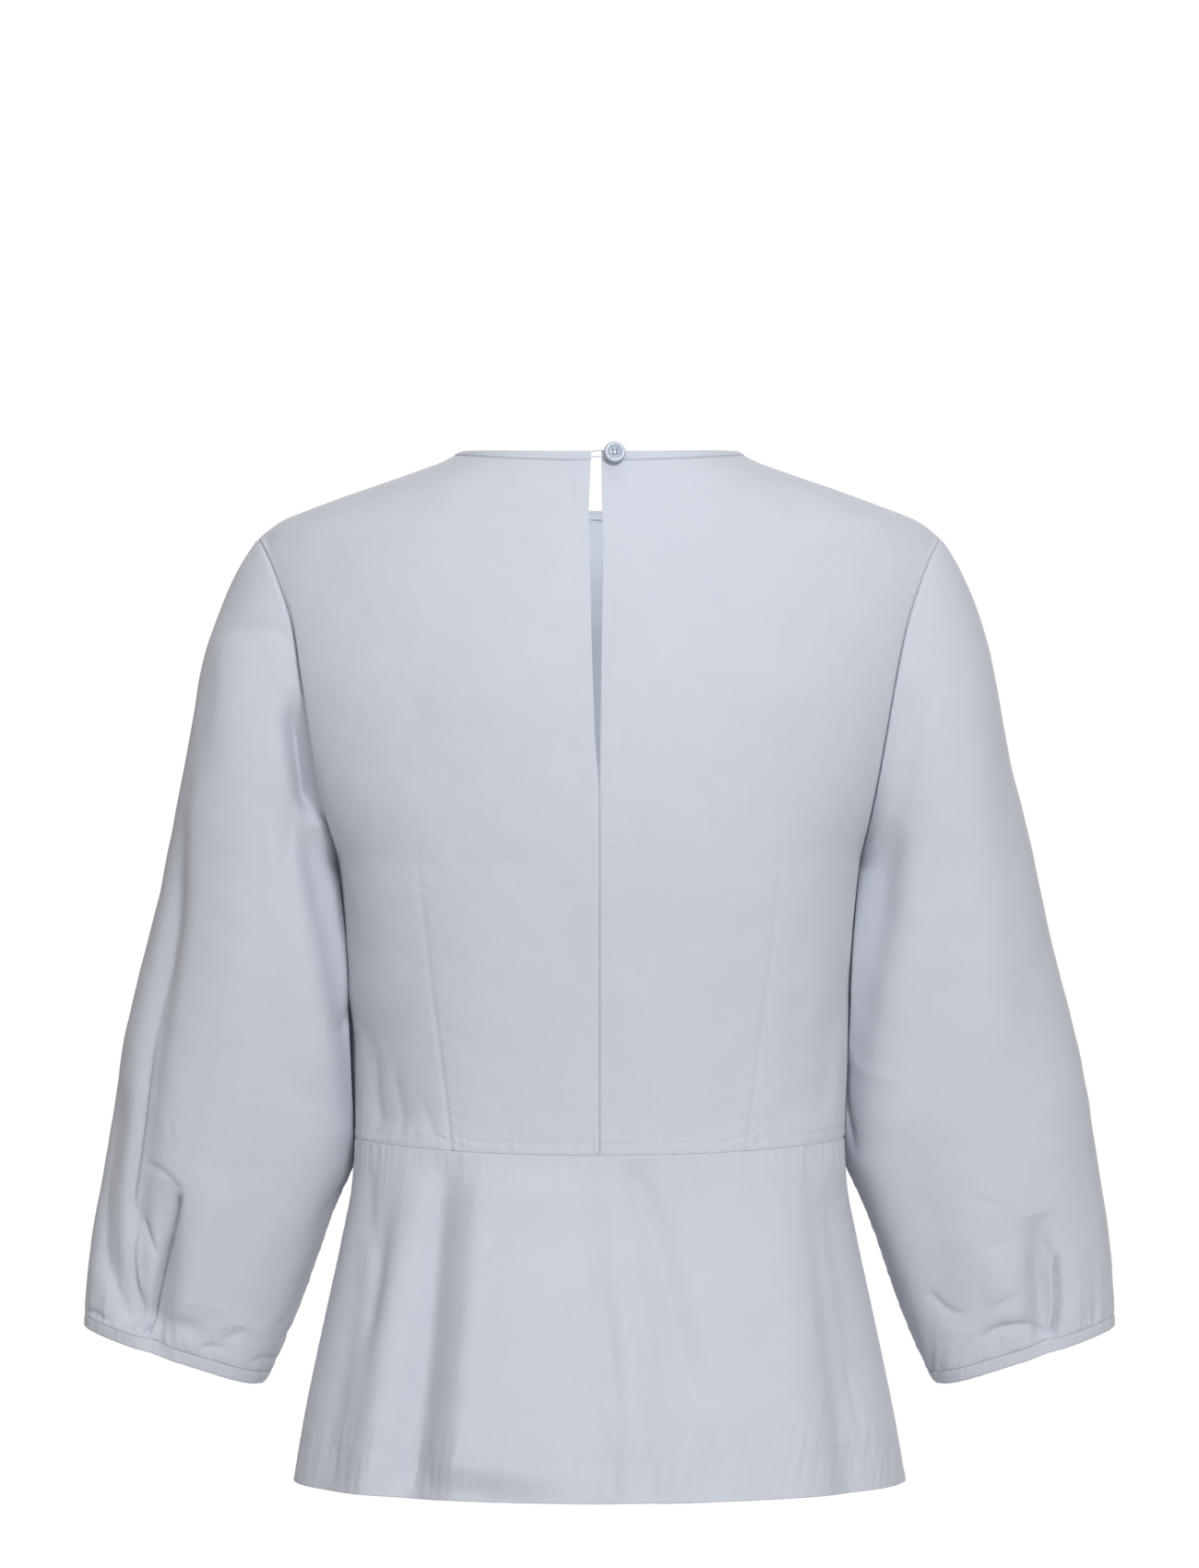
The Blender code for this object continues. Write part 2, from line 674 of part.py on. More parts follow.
def button(seat, material):
    """A four-hole button with a dished middle, half of it above the neck edge."""
    low, high = BUTTON_LIFT, BUTTON_LIFT + BUTTON_THICKNESS
    outline = (
        (0, high - 0.0008),
        (0.0030, high - 0.0008),
        (0.0038, high - 0.0003),
        (0.0048, high),
        (0.0056, high - 0.0002),
        (BUTTON_RADIUS, high - 0.0010),
        (0.0054, low + 0.0004),
        (0.0040, low),
        (0, low),
    )
    disc = turned("button", outline, BUTTON_STEPS, seat, material)
    for i in range(HOLES):
        angle = math.radians(45) + math.tau * i / HOLES
        place = (HOLE_OFFSET * math.cos(angle), HOLE_OFFSET * math.sin(angle), (low + high) / 2)
        bpy.ops.mesh.primitive_cylinder_add(
            vertices=10, radius=HOLE_RADIUS, depth=3 * BUTTON_THICKNESS, location=place
        )
        cutter = bpy.context.object
        cutter.name = f"hole_{i}"
        cutter.parent = seat
        cutter.hide_render = True
        cutter.display_type = "WIRE"
        cutter.users_collection[0].objects.unlink(cutter)
        cutters.objects.link(cutter)
        hole = disc.modifiers.new(cutter.name, "BOOLEAN")
        hole.object = cutter


def button_shank(seat, material):
    """The wound thread that holds the button off the cloth."""
    top, foot = BUTTON_LIFT - SEAM_GAP, SEAM_GAP
    outline = (
        (0, top),
        (SHANK_END_RADIUS, top),
        (SHANK_WAIST_RADIUS, (top + foot) / 2),
        (SHANK_END_RADIUS, foot),
        (0, foot),
    )
    turned("button_shank", outline, SHANK_STEPS, seat, material)


def button_loop(seat, material):
    """The corded loop: out of the left band's edge, over the slit and round the shank."""
    start = SEAM_GAP - BUTTON_X - slit["left"](0.0)
    bend_radius = SHANK_END_RADIUS + SEAM_GAP + LOOP_RADIUS
    strand = [
        # along, sideways, lift
        (start, LOOP_HALF_WIDTH, -0.0006),
        (start + 0.0012, LOOP_HALF_WIDTH, -0.0004),
        (start + 0.0028, LOOP_HALF_WIDTH, 0.0003),
        (start + 0.0042, LOOP_HALF_WIDTH, LOOP_LIFT - 0.0002),
        (start + 0.0056, LOOP_HALF_WIDTH, LOOP_LIFT),
        (start + 0.0086, LOOP_HALF_WIDTH, LOOP_LIFT),
    ]
    turns = [math.pi * i / LOOP_BEND_STEPS for i in range(LOOP_BEND_STEPS + 1)]
    bend = [(bend_radius * math.sin(turn), bend_radius * math.cos(turn), LOOP_LIFT) for turn in turns]
    back = [(along, -sideways, lift) for along, sideways, lift in reversed(strand)]
    route = strand + bend + back
    line = bpy.data.curves.new("button_loop", "CURVE")
    line.dimensions = "3D"
    line.bevel_depth = LOOP_RADIUS
    line.bevel_resolution = 1
    line.use_fill_caps = True
    spline = line.splines.new("POLY")
    spline.points.add(len(route) - 1)
    for point, place in zip(spline.points, route):
        point.co = (*place, 1)
    add_object("button_loop", line, material).parent = seat


def finish(name, colour, roughness):
    """A plain Principled material."""
    material = bpy.data.materials.new(name)
    material.use_nodes = True
    shader = material.node_tree.nodes["Principled BSDF"]
    shader.inputs["Base Color"].default_value = colour
    shader.inputs["Roughness"].default_value = roughness
    shader.inputs["Metallic"].default_value = 0.0
    return material


for old in list(bpy.data.objects):
    bpy.data.objects.remove(old)
blouse = bpy.data.collections.new("blouse")
cutters = bpy.data.collections.new("cutters")
for collection in (blouse, cutters):
    bpy.context.scene.collection.children.link(collection)

poplin = finish("poplin", PALE_BLUE, 0.85)
bodice("back", "left", "back_left", "neck_band_left", poplin)
bodice("back", "right", "back_right", "neck_band_right", poplin)
bodice("front", "both", "front", "neck_band_front", poplin)
peplum("back", poplin)
peplum("front", poplin)
sleeve("left", poplin)
sleeve("right", poplin)

band_seat = button_seat()
button(band_seat, finish("button_plastic", BUTTON_BLUE, 0.35))
button_thread = finish("button_thread", BUTTON_BLUE, 0.7)
button_shank(band_seat, button_thread)
button_loop(band_seat, button_thread)
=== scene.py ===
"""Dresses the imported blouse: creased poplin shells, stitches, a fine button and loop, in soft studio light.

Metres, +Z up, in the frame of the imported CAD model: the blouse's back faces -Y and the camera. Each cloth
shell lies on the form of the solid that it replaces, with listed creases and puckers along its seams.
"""

import math

import bpy
import numpy as np
from mathutils import Matrix, Vector


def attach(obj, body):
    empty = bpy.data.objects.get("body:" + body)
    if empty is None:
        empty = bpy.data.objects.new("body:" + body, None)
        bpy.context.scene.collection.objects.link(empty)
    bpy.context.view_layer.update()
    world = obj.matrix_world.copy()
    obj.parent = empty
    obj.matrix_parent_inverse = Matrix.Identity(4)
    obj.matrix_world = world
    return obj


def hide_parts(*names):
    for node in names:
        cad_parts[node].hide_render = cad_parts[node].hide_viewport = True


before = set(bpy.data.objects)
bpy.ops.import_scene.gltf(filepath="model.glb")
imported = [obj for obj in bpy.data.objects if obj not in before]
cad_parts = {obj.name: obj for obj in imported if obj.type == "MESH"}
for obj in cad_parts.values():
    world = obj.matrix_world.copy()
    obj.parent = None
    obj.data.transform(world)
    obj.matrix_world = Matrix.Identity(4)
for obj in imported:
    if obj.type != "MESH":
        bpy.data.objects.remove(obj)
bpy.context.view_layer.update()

# The solids' form, from the part's source
SHOULDER_TIP_Z = -0.0493
ARMHOLE_HEIGHT = 0.1837
UNDERARM_Z = SHOULDER_TIP_Z - ARMHOLE_HEIGHT
WAIST_SIDE_Z = -0.393
HEM_Z = -0.590
HEM_TOP_Z = -0.565
BAND_EDGE_Z = -0.0023
SLIT_END_Z = -0.200
ARMHOLE_BACK = 0.054
ARMHOLE_FRONT = 0.050
ARMHOLE_MID_Z = SHOULDER_TIP_Z - ARMHOLE_HEIGHT / 2
ROW_BEND = 2.2
DART_LIMIT = 0.62

# How far a panel's rows blur into each other, except near its sides and ends
ROW_BLUR = 0.007
BLUR_SIDE = 0.006
BLUR_END = 0.02

# Cloth, seams and puckers
CLOTH = 0.0005
HEM_CLOTH = 0.0012
BAND_CLOTH = 0.0016
BAND_PROUD = 0.0003
CUFF_PROUD = 0.0002
FACING_WIDTH = 0.008
FACING_CLOTH = 0.0010
FACING_PROUD = 0.00018
SLIT_FADE = 0.01
WAIST_STITCH = 0.0064
WAIST_STITCH_ROW = -9
SEAM_DEPTH = 0.0003
SEAM_WIDTH = 0.0009
PUCKER_HOLD = 0.0025
GROOVE_WIDTH = 0.0016
DEEPEST_GROOVE = 0.0015
EDGE_ROUND = 0.0012
CALM_SIDE = 0.02
CALM_END = 0.012

# The photograph's camera: metres in a pixel at the plane y = 0, its distance and its height
PICTURE_WIDTH, PICTURE_HEIGHT = 1300, 1700
PIXEL = 0.00053
CAMERA_DISTANCE = 3.5
CAMERA_Z = -0.1908
SENSOR = 36


class Curve:
    """A smooth curve through a table's points that never swings past them."""

    def __init__(self, keys, values):
        self.keys, self.values = np.array(keys), np.array(values)
        rises = np.diff(self.values) / np.diff(self.keys)
        before, after = rises[:-1], rises[1:]
        same_way = before * after > 0
        total = np.where(same_way, before + after, 1.0)
        middle = np.where(same_way, 2 * before * after / total, 0.0)
        self.slopes = np.concatenate((rises[:1], middle, rises[-1:]))

    def __call__(self, at):
        at = np.clip(at, self.keys[0], self.keys[-1])
        i = np.clip(np.searchsorted(self.keys, at, side="right") - 1, 0, len(self.keys) - 2)
        span = self.keys[i + 1] - self.keys[i]
        u = (at - self.keys[i]) / span
        start, end = self.values[i], self.values[i + 1]
        pull_in, pull_out = self.slopes[i] * span, self.slopes[i + 1] * span
        blend = u * u * (3 - 2 * u)
        return start + (end - start) * blend + u * (1 - u) * ((1 - u) * pull_in - u * pull_out)


def curves(names, *rows):
    """Curves from a short table. The first named column is the key, and each other column is a curve."""
    rows = sorted(rows)
    keys = [row[0] for row in rows]
    return {name: Curve(keys, [row[i] for row in rows]) for i, name in enumerate(names.split()) if i}


profile = curves(
    "z back front squareness",
    (0.000, 0.0680, 0.076, 2.00),
    (-0.015, 0.0715, 0.079, 1.90),
    (-0.030, 0.0775, 0.083, 1.80),
    (-0.060, 0.0900, 0.094, 1.75),
    (-0.100, 0.1030, 0.106, 1.95),
    (-0.150, 0.1125, 0.117, 2.20),
    (-0.200, 0.1140, 0.125, 2.30),
    (-0.240, 0.1110, 0.127, 2.40),
    (-0.290, 0.1020, 0.120, 2.40),
    (-0.345, 0.0920, 0.107, 2.40),
    (-0.396, 0.0870, 0.100, 2.40),
    (-0.430, 0.0900, 0.102, 2.35),
    (-0.490, 0.1040, 0.110, 2.20),
    (-0.550, 0.1170, 0.119, 2.05),
    (HEM_Z, 0.1240, 0.124, 1.95),
)
shoulder = curves(
    "z x",
    (0.000, 0.0795),
    (-0.0053, 0.0888),
    (-0.0106, 0.1025),
    (-0.0212, 0.1336),
    (-0.0318, 0.1630),
    (-0.0400, 0.1832),
    (SHOULDER_TIP_Z, 0.1955),
)
armhole = curves(
    "z x",
    (SHOULDER_TIP_Z, 0.1955),
    (-0.060, 0.1895),
    (-0.075, 0.1830),
    (-0.100, 0.1745),
    (-0.130, 0.1680),
    (-0.165, 0.1620),
    (-0.197, 0.1565),
    (-0.218, 0.1525),
    (UNDERARM_Z, 0.1495),
)
side_seam = curves(
    "z x",
    (UNDERARM_Z, 0.1495),
    (-0.275, 0.1465),
    (-0.320, 0.1440),
    (-0.355, 0.1422),
    (WAIST_SIDE_Z, 0.1405),
    (-0.4187, 0.1420),
    (-0.4505, 0.1478),
    (-0.498, 0.1580),
    (-0.546, 0.1680),
    (HEM_Z, 0.1757),
)
row_centre = curves(
    "z back front",
    (0.000, -0.0030, -0.0300),
    (BAND_EDGE_Z, -0.0080, -0.0350),
    (-0.010, -0.0155, -0.0420),
    (-0.022, -0.0270, -0.0510),
    (-0.035, -0.0385, -0.0610),
    (SHOULDER_TIP_Z, -0.0515, -0.0720),
    (-0.0706, -0.0718, -0.0880),
    (-0.095, -0.0955, -0.1060),
    (-0.125, -0.1252, -0.1305),
    (-0.157, -0.1570, -0.1590),
    (-0.330, -0.3300, -0.3300),
    (-0.365, -0.3680, -0.3665),
    (WAIST_SIDE_Z, -0.3990, -0.3965),
    (HEM_Z, HEM_Z, HEM_Z),
)
slit = curves(
    "z left right",
    (0.000, 0.0045, 0.0010),
    (-0.038, 0.0060, 0.0015),
    (-0.061, 0.0054, 0.0020),
    (-0.113, 0.0042, 0.0011),
    (-0.165, 0.0024, 0.0004),
    (SLIT_END_Z, 0.0, 0.0),
    (-0.400, 0.0, 0.0),
)
darts = {
    "back": curves(
        "z x groove",
        (0.000, 0.045, 0.0),
        (-0.120, 0.098, 0.0),
        (-0.205, 0.103, 0.0),
        (-0.240, 0.101, 0.0008),
        (-0.399, 0.083, 0.0015),
    ),
    "front": curves(
        "z x groove",
        (0.000, 0.045, 0.0),
        (-0.120, 0.090, 0.0),
        (-0.265, 0.088, 0.0),
        (-0.295, 0.087, 0.0008),
        (-0.399, 0.078, 0.0015),
    ),
}

# The solids' peplum folds: place across at waist and hem, half-width and depth
PEPLUM_FOLDS = {
    "back": (
        # waist_x, hem_x, half_width, depth
        (-0.126, -0.158, 0.008, -0.0035),
        (-0.106, -0.133, 0.010, 0.0045),
        (-0.086, -0.110, 0.013, -0.0080),
        (-0.064, -0.080, 0.011, 0.0030),
        (-0.010, -0.004, 0.014, -0.0025),
        (0.004, 0.024, 0.012, 0.0035),
        (0.020, 0.054, 0.016, -0.0040),
        (0.096, 0.116, 0.016, 0.0030),
        (0.118, 0.144, 0.010, -0.0055),
    ),
    "front": (
        (-0.118, -0.146, 0.011, -0.0050),
        (-0.098, -0.122, 0.012, 0.0035),
        (-0.052, -0.070, 0.015, -0.0055),
        (-0.012, -0.020, 0.014, 0.0030),
        (0.040, 0.056, 0.016, -0.0060),
        (0.074, 0.096, 0.013, 0.0035),
        (0.110, 0.138, 0.011, -0.0045),
    ),
}
FOLD_WAIST_SHARE = 0.6
FOLD_RISE = 0.8
SEAM_FADE = 6

sleeve_rings = curves(
    "share outer_x outer_z inner_x inner_z middle_y half_depth",
    (0.15, 0.2380, -0.1830, 0.1480, -0.2460, 0.006, 0.0580),
    (0.23, 0.2470, -0.2200, 0.1430, -0.2800, 0.010, 0.0585),
    (0.32, 0.2560, -0.2600, 0.1380, -0.3160, 0.014, 0.0590),
    (0.42, 0.2660, -0.3000, 0.1350, -0.3500, 0.018, 0.0580),
    (0.51, 0.2755, -0.3400, 0.1355, -0.3800, 0.021, 0.0560),
    (0.60, 0.2830, -0.3760, 0.1410, -0.4060, 0.023, 0.0530),
    (0.70, 0.2885, -0.4080, 0.1540, -0.4360, 0.026, 0.0500),
    (0.80, 0.2935, -0.4400, 0.1655, -0.4675, 0.029, 0.0460),
    (0.90, 0.2968, -0.4710, 0.1772, -0.4985, 0.032, 0.0415),
    (1.00, 0.2985, -0.4980, 0.1908, -0.5298, 0.034, 0.0365),
    (1.03, 0.2989, -0.5048, 0.1946, -0.5368, 0.035, 0.0355),
)
CAP_SHARE = 0.15
CUFF_END = 1.03
CUFF_BACK_DIP = 0.0013
CUFF_STITCH_ROW = 5
SLEEVE_BACK_COLUMNS, SLEEVE_FRONT_COLUMNS = 150, 55
UNDERARM_LEAVE = np.array((0.12, 0, -0.99))
SHOULDER_LEAVE = np.array((0.62, 0, -0.78))
LEAVE_FAN = 0.18
SLEEVE_BODY_GAP = 0.0005
GAP_FADE_HEIGHT = 0.02
ARM_RADIUS = 0.055
SHARE_STEP = 0.003
MIRRORS = {"left": np.array((-1, 1, 1)), "right": np.array((1, 1, 1))}

# The solids' sleeve folds: where along and around the sleeve each starts and ends, half-width and depth.
# Angles run from 0 at the outer edge over 90 at the back to 180 at the underarm and 270 at the front.
SLEEVE_FOLDS = {
    "left": (
        # share_1, share_2, angle_1, angle_2, half_width, depth
        (0.70, 1.04, 68, 78, 0.008, -0.0095),
        (0.66, 1.00, 90, 92, 0.009, 0.0030),
        (0.12, 0.98, 30, 60, 0.009, -0.0055),
        (0.06, 0.55, 128, 150, 0.012, -0.0060),
        (0.10, 0.50, 108, 128, 0.013, 0.0030),
        (0.15, 0.80, 238, 285, 0.015, -0.0050),
    ),
    "right": (
        (0.76, 1.04, 68, 78, 0.007, -0.0085),
        (0.80, 1.00, 92, 94, 0.011, 0.0030),
        (0.06, 0.60, 124, 148, 0.013, -0.0055),
        (0.12, 0.62, 60, 76, 0.016, 0.0025),
        (0.20, 0.80, 254, 288, 0.015, -0.0045),
        (0.55, 0.95, 118, 128, 0.014, -0.0035),
    ),
}
SLEEVE_FOLD_RISE = 0.7

# The hanging sleeve is flatter than a tube: it turns sharply beside its inner edge, at these angles round it
SLEEVE_CORNERS = (
    # angle, half_width, rise
    (138, 27, 0.0080),
    (224, 27, 0.0060),
)
UNDERARM_ANGLE = 182

# Creases, listed one by one. Points are where the camera sees them, in pixels of the 1300 by 1700 picture,
# and those on the front lie behind such places. Depth is in millimetres, below zero for a trough. The two
# half-widths are in pixels: low is left of a crease that runs down or below one that runs to the right, and
# high is its other side. A crease fades in and out over the given shares of its length, and a side narrower
# than CRISP_WIDTH is steepest at the crease's bottom.
CREASES = {
    "back": (
        # depth, low, high, fade_in, fade_out, then x, y of each point
        (3.0, 12, 60, 0.4, 0.4, 350, 800, 372, 890, 392, 980, 404, 1050),
        (4.4, 8, 75, 0.35, 0.4, 296, 628, 318, 700, 332, 770, 350, 850, 370, 940),
        (-5.5, 14, 50, 0.4, 0.15, 388, 1060, 392, 1120, 400, 1180, 412, 1240),
        (-1.0, 6, 6, 0.4, 0.2, 396, 1110, 400, 1180, 406, 1232),
        (-1.1, 6, 8, 0.4, 0.2, 418, 1140, 427, 1195, 438, 1238),
        (-0.7, 5, 6, 0.4, 0.2, 452, 1180, 462, 1212, 478, 1242),
        (-0.9, 28, 34, 0.5, 0.5, 430, 640, 450, 760, 500, 900),
        (-0.6, 20, 26, 0.5, 0.2, 560, 1040, 545, 1140, 520, 1250),
        (-2.2, 26, 10, 0.5, 0.2, 930, 1020, 908, 1100, 896, 1180, 886, 1235),
        (-0.8, 14, 16, 0.5, 0.1, 870, 1010, 868, 1120, 850, 1245),
        (-0.7, 30, 30, 0.5, 0.5, 790, 620, 800, 760, 778, 900),
        (-0.5, 24, 24, 0.5, 0.2, 700, 930, 716, 1080, 706, 1240),
        (-0.4, 5, 5, 0.4, 0.4, 790, 1222, 830, 1214, 868, 1200),
    ),
    "peplum_back": (
        (-3.4, 14, 30, 0.1, 0.1, 486, 1256, 475, 1330, 464, 1420, 450, 1510, 432, 1624),
        (2.2, 16, 15, 0.15, 0.1, 464, 1258, 451, 1330, 441, 1400, 426, 1500, 408, 1620),
        (9.0, 44, 95, 0.12, 0.1, 524, 1258, 528, 1330, 528, 1400, 521, 1500, 507, 1624),
        (-4.2, 10, 13, 0.4, 0.4, 424, 1290, 411, 1350, 404, 1400, 384, 1500),
        (-1.6, 9, 9, 0.2, 0.6, 399, 1255, 402, 1330, 408, 1400),
        (-3.0, 10, 18, 0.1, 0.4, 673, 1256, 714, 1345, 736, 1440, 776, 1560),
        (1.3, 7, 8, 0.3, 0.4, 683, 1325, 701, 1430, 716, 1515),
        (-1.4, 8, 8, 0.4, 0.3, 652, 1380, 664, 1470, 672, 1560),
        (-6.0, 17, 28, 0.2, 0.3, 899, 1262, 918, 1370, 933, 1480, 943, 1570),
        (-0.9, 6, 6, 0.4, 0.2, 924, 1440, 936, 1540, 944, 1600),
        (-0.5, 2, 3, 0.3, 0.1, 582, 1570, 582, 1626),
        (-0.6, 3, 3, 0.2, 0.1, 337, 1566, 334, 1606),
        (0.5, 3, 3, 0.2, 0.1, 350, 1566, 347, 1612),
        (-0.8, 3, 4, 0.2, 0.1, 361, 1562, 358, 1612),
        (-0.6, 4, 4, 0.2, 0.1, 378, 1566, 373, 1616),
        (0.5, 4, 4, 0.2, 0.1, 400, 1574, 396, 1618),
        (-0.9, 4, 3, 0.2, 0.1, 433, 1572, 427, 1620),
        (-0.7, 3, 3, 0.2, 0.1, 444, 1572, 437, 1620),
        (0.6, 3, 3, 0.2, 0.1, 456, 1570, 450, 1622),
        (-0.8, 3, 4, 0.2, 0.1, 466, 1572, 461, 1622),
        (-0.4, 5, 5, 0.2, 0.1, 520, 1580, 518, 1624),
        (-0.8, 5, 4, 0.2, 0.1, 668, 1580, 666, 1626),
        (-0.7, 4, 4, 0.2, 0.1, 693, 1582, 690, 1626),
        (0.5, 4, 4, 0.2, 0.1, 707, 1582, 706, 1626),
        (-0.6, 3, 4, 0.2, 0.1, 716, 1582, 715, 1624),
        (-0.7, 4, 5, 0.2, 0.1, 782, 1580, 784, 1624),
        (0.4, 5, 5, 0.2, 0.1, 800, 1580, 802, 1622),
        (-0.4, 6, 6, 0.2, 0.1, 862, 1578, 868, 1618),
        (-0.7, 4, 3, 0.2, 0.1, 930, 1560, 937, 1612),
        (-0.6, 3, 3, 0.2, 0.1, 943, 1556, 952, 1606),
        (0.5, 3, 3, 0.2, 0.1, 957, 1560, 965, 1604),
    ),
    "sleeve_left": (
        (2.0, 12, 36, 0.1, 0.5, 250, 684, 249, 740, 244, 800, 233, 870),
        (-1.1, 8, 6, 0.2, 0.3, 252, 690, 276, 678, 304, 684, 320, 704),
        (-14.0, 15, 14, 0.4, 0.22, 318, 740, 320, 780, 328, 820, 338, 862, 347, 896),
        (4.5, 15, 62, 0.3, 0.4, 238, 630, 224, 760, 207, 900, 190, 1010),
        (-2.0, 13, 8, 0.4, 0.5, 324, 840, 314, 905, 311, 960, 318, 1030),
        (3.0, 13, 34, 0.25, 0.3, 338, 890, 348, 960, 360, 1050, 372, 1120),
        (-2.4, 8, 5, 0.3, 0.3, 380, 1050, 371, 1090, 356, 1128),
        (-2.8, 20, 8, 0.4, 0.15, 212, 820, 199, 930, 186, 1030, 166, 1120, 152, 1190),
        (-3.4, 15, 4, 0.3, 0.3, 166, 1120, 157, 1190, 152, 1232, 147, 1265, 141, 1302, 137, 1352),
        (-6.5, 9, 24, 0.3, 0.05, 136, 1120, 121, 1190, 113, 1252, 107, 1303, 107, 1350, 119, 1396, 145, 1446),
        (-5.5, 7, 24, 0.3, 0.08, 162, 1274, 144, 1320, 141, 1380, 151, 1444),
        (-7.5, 5, 2.5, 0.1, 0.06, 196, 1289, 187, 1334, 173, 1390, 158, 1454),
        (-2.0, 9, 4, 0.4, 0.15, 150, 1256, 168, 1265, 184, 1278, 197, 1293),
        (-2.4, 6, 3, 0.3, 0.4, 148, 1316, 157, 1337, 166, 1357, 176, 1369),
        (2.4, 5, 6, 0.3, 0.3, 147, 1326, 144, 1370, 151, 1418),
        (-0.9, 3, 4, 0.4, 0.4, 182, 1206, 187, 1240),
        (-3.4, 12, 11, 0.3, 0.4, 166, 1444, 192, 1437, 224, 1452),
        (-1.6, 5, 3, 0.3, 0.4, 214, 1463, 232, 1458, 252, 1463),
        (-1.8, 6, 9, 0.3, 0.4, 236, 1455, 252, 1447, 268, 1436),
        (-1.7, 5, 4, 0.3, 0.3, 264, 1474, 284, 1469, 304, 1474),
        (-1.4, 5, 6, 0.4, 0.3, 296, 1457, 308, 1447, 322, 1436),
        (0.6, 8, 6, 0.4, 0.4, 186, 1420, 214, 1412, 250, 1424),
        (0.7, 5, 5, 0.3, 0.4, 234, 1438, 262, 1435, 292, 1444),
        (-1.7, 5, 4, 0.2, 0.4, 90, 1417, 104, 1425, 119, 1436),
        (-0.8, 3, 3, 0.4, 0.1, 124, 1400, 123, 1441),
        (0.7, 3, 3, 0.4, 0.1, 138, 1412, 136, 1446),
        (-0.6, 4, 3, 0.4, 0.1, 107, 1396, 104, 1434),
        (-1.1, 4, 7, 0.2, 0.4, 372, 1276, 348, 1305, 329, 1340),
        (-1.1, 5, 7, 0.3, 0.3, 346, 1338, 330, 1380, 311, 1422),
        (-1.0, 4, 5, 0.3, 0.3, 324, 1402, 306, 1426, 288, 1440),
        (-0.5, 8, 10, 0.4, 0.3, 300, 1330, 290, 1400, 262, 1450),
    ),
    "sleeve_right": (
        (-2.8, 22, 14, 0.3, 0.4, 1002, 730, 991, 786, 980, 840, 962, 892),
        (-1.8, 12, 18, 0.3, 0.4, 962, 900, 963, 980, 958, 1060),
        (3.2, 34, 10, 0.3, 0.3, 944, 900, 938, 980, 931, 1060, 926, 1120),
        (-3.2, 7, 6, 0.3, 0.3, 930, 1128, 924, 1180, 931, 1225, 941, 1252),
        (1.0, 6, 6, 0.2, 0.5, 930, 1140, 947, 1158, 992, 1174),
        (-0.7, 4, 5, 0.4, 0.3, 1040, 1292, 1066, 1303, 1094, 1308),
        (-0.7, 6, 5, 0.3, 0.4, 1094, 1282, 1098, 1355, 1086, 1404),
        (-2.0, 7, 5, 0.3, 0.4, 1008, 1390, 1030, 1417, 1054, 1425),
        (-1.5, 9, 5, 0.4, 0.5, 1058, 1421, 1086, 1413, 1114, 1398),
        (0.7, 8, 8, 0.3, 0.3, 1012, 1432, 1048, 1442, 1080, 1432),
        (-3.4, 8, 5, 0.3, 0.2, 1056, 1456, 1084, 1440, 1115, 1437, 1141, 1452),
        (-0.8, 4, 4, 0.4, 0.2, 1128, 1338, 1142, 1370),
        (-7.0, 3.5, 3, 0.25, 0.05, 1146, 1354, 1148, 1414, 1140, 1462),
        (1.2, 7, 13, 0.3, 0.3, 1160, 1350, 1168, 1400, 1160, 1450),
        (-0.9, 5, 5, 0.3, 0.3, 1016, 1474, 1034, 1490),
        (-0.5, 4, 4, 0.3, 0.2, 1176, 1420, 1184, 1452),
        (-1.2, 6, 8, 0.3, 0.4, 944, 1322, 962, 1366, 986, 1408),
    ),
    "front": (
        (2.4, 48, 14, 0.4, 0.4, 948, 820, 926, 920, 904, 1020, 894, 1080),
        (-3.6, 40, 14, 0.4, 0.15, 912, 1060, 906, 1150, 890, 1240),
        (-1.0, 7, 6, 0.4, 0.2, 880, 1150, 872, 1200, 860, 1240),
        (-0.7, 6, 5, 0.4, 0.2, 846, 1180, 836, 1214, 826, 1244),
        (-1.1, 16, 14, 0.5, 0.1, 430, 1010, 455, 1120, 452, 1240),
        (-1.0, 30, 30, 0.5, 0.5, 560, 660, 530, 820, 500, 940),
        (-0.8, 26, 34, 0.5, 0.5, 760, 640, 785, 780, 812, 900),
        (-0.6, 24, 22, 0.5, 0.2, 640, 980, 628, 1120, 640, 1245),
    ),
    "peplum_front": (
        (-1.8, 10, 26, 0.2, 0.2, 545, 1262, 532, 1350, 520, 1500, 510, 1620),
        (1.0, 12, 9, 0.3, 0.4, 640, 1290, 618, 1400, 610, 1540),
        (-1.8, 10, 14, 0.2, 0.4, 735, 1262, 752, 1370, 760, 1560),
        (1.1, 8, 10, 0.3, 0.5, 812, 1262, 838, 1400, 850, 1500),
        (-1.6, 8, 8, 0.3, 0.4, 892, 1270, 906, 1380, 914, 1480),
        (-1.2, 8, 8, 0.3, 0.4, 420, 1300, 404, 1400, 392, 1520),
        (-0.8, 4, 4, 0.2, 0.1, 446, 1576, 441, 1620),
        (-0.6, 4, 4, 0.2, 0.1, 560, 1580, 559, 1626),
        (0.5, 4, 4, 0.2, 0.1, 604, 1582, 603, 1626),
        (-0.7, 4, 4, 0.2, 0.1, 742, 1580, 743, 1626),
        (-0.7, 4, 4, 0.2, 0.1, 838, 1578, 842, 1622),
        (0.5, 4, 4, 0.2, 0.1, 902, 1572, 908, 1616),
    ),
    "sleeve_left_front": (
        (-2.6, 16, 14, 0.4, 0.4, 318, 720, 334, 800, 346, 870),
        (-1.4, 14, 14, 0.4, 0.5, 330, 860, 318, 960, 322, 1060),
        (-1.6, 14, 9, 0.4, 0.4, 206, 860, 194, 980, 176, 1100),
        (-2.6, 5, 4, 0.3, 0.05, 236, 1330, 228, 1395, 216, 1462),
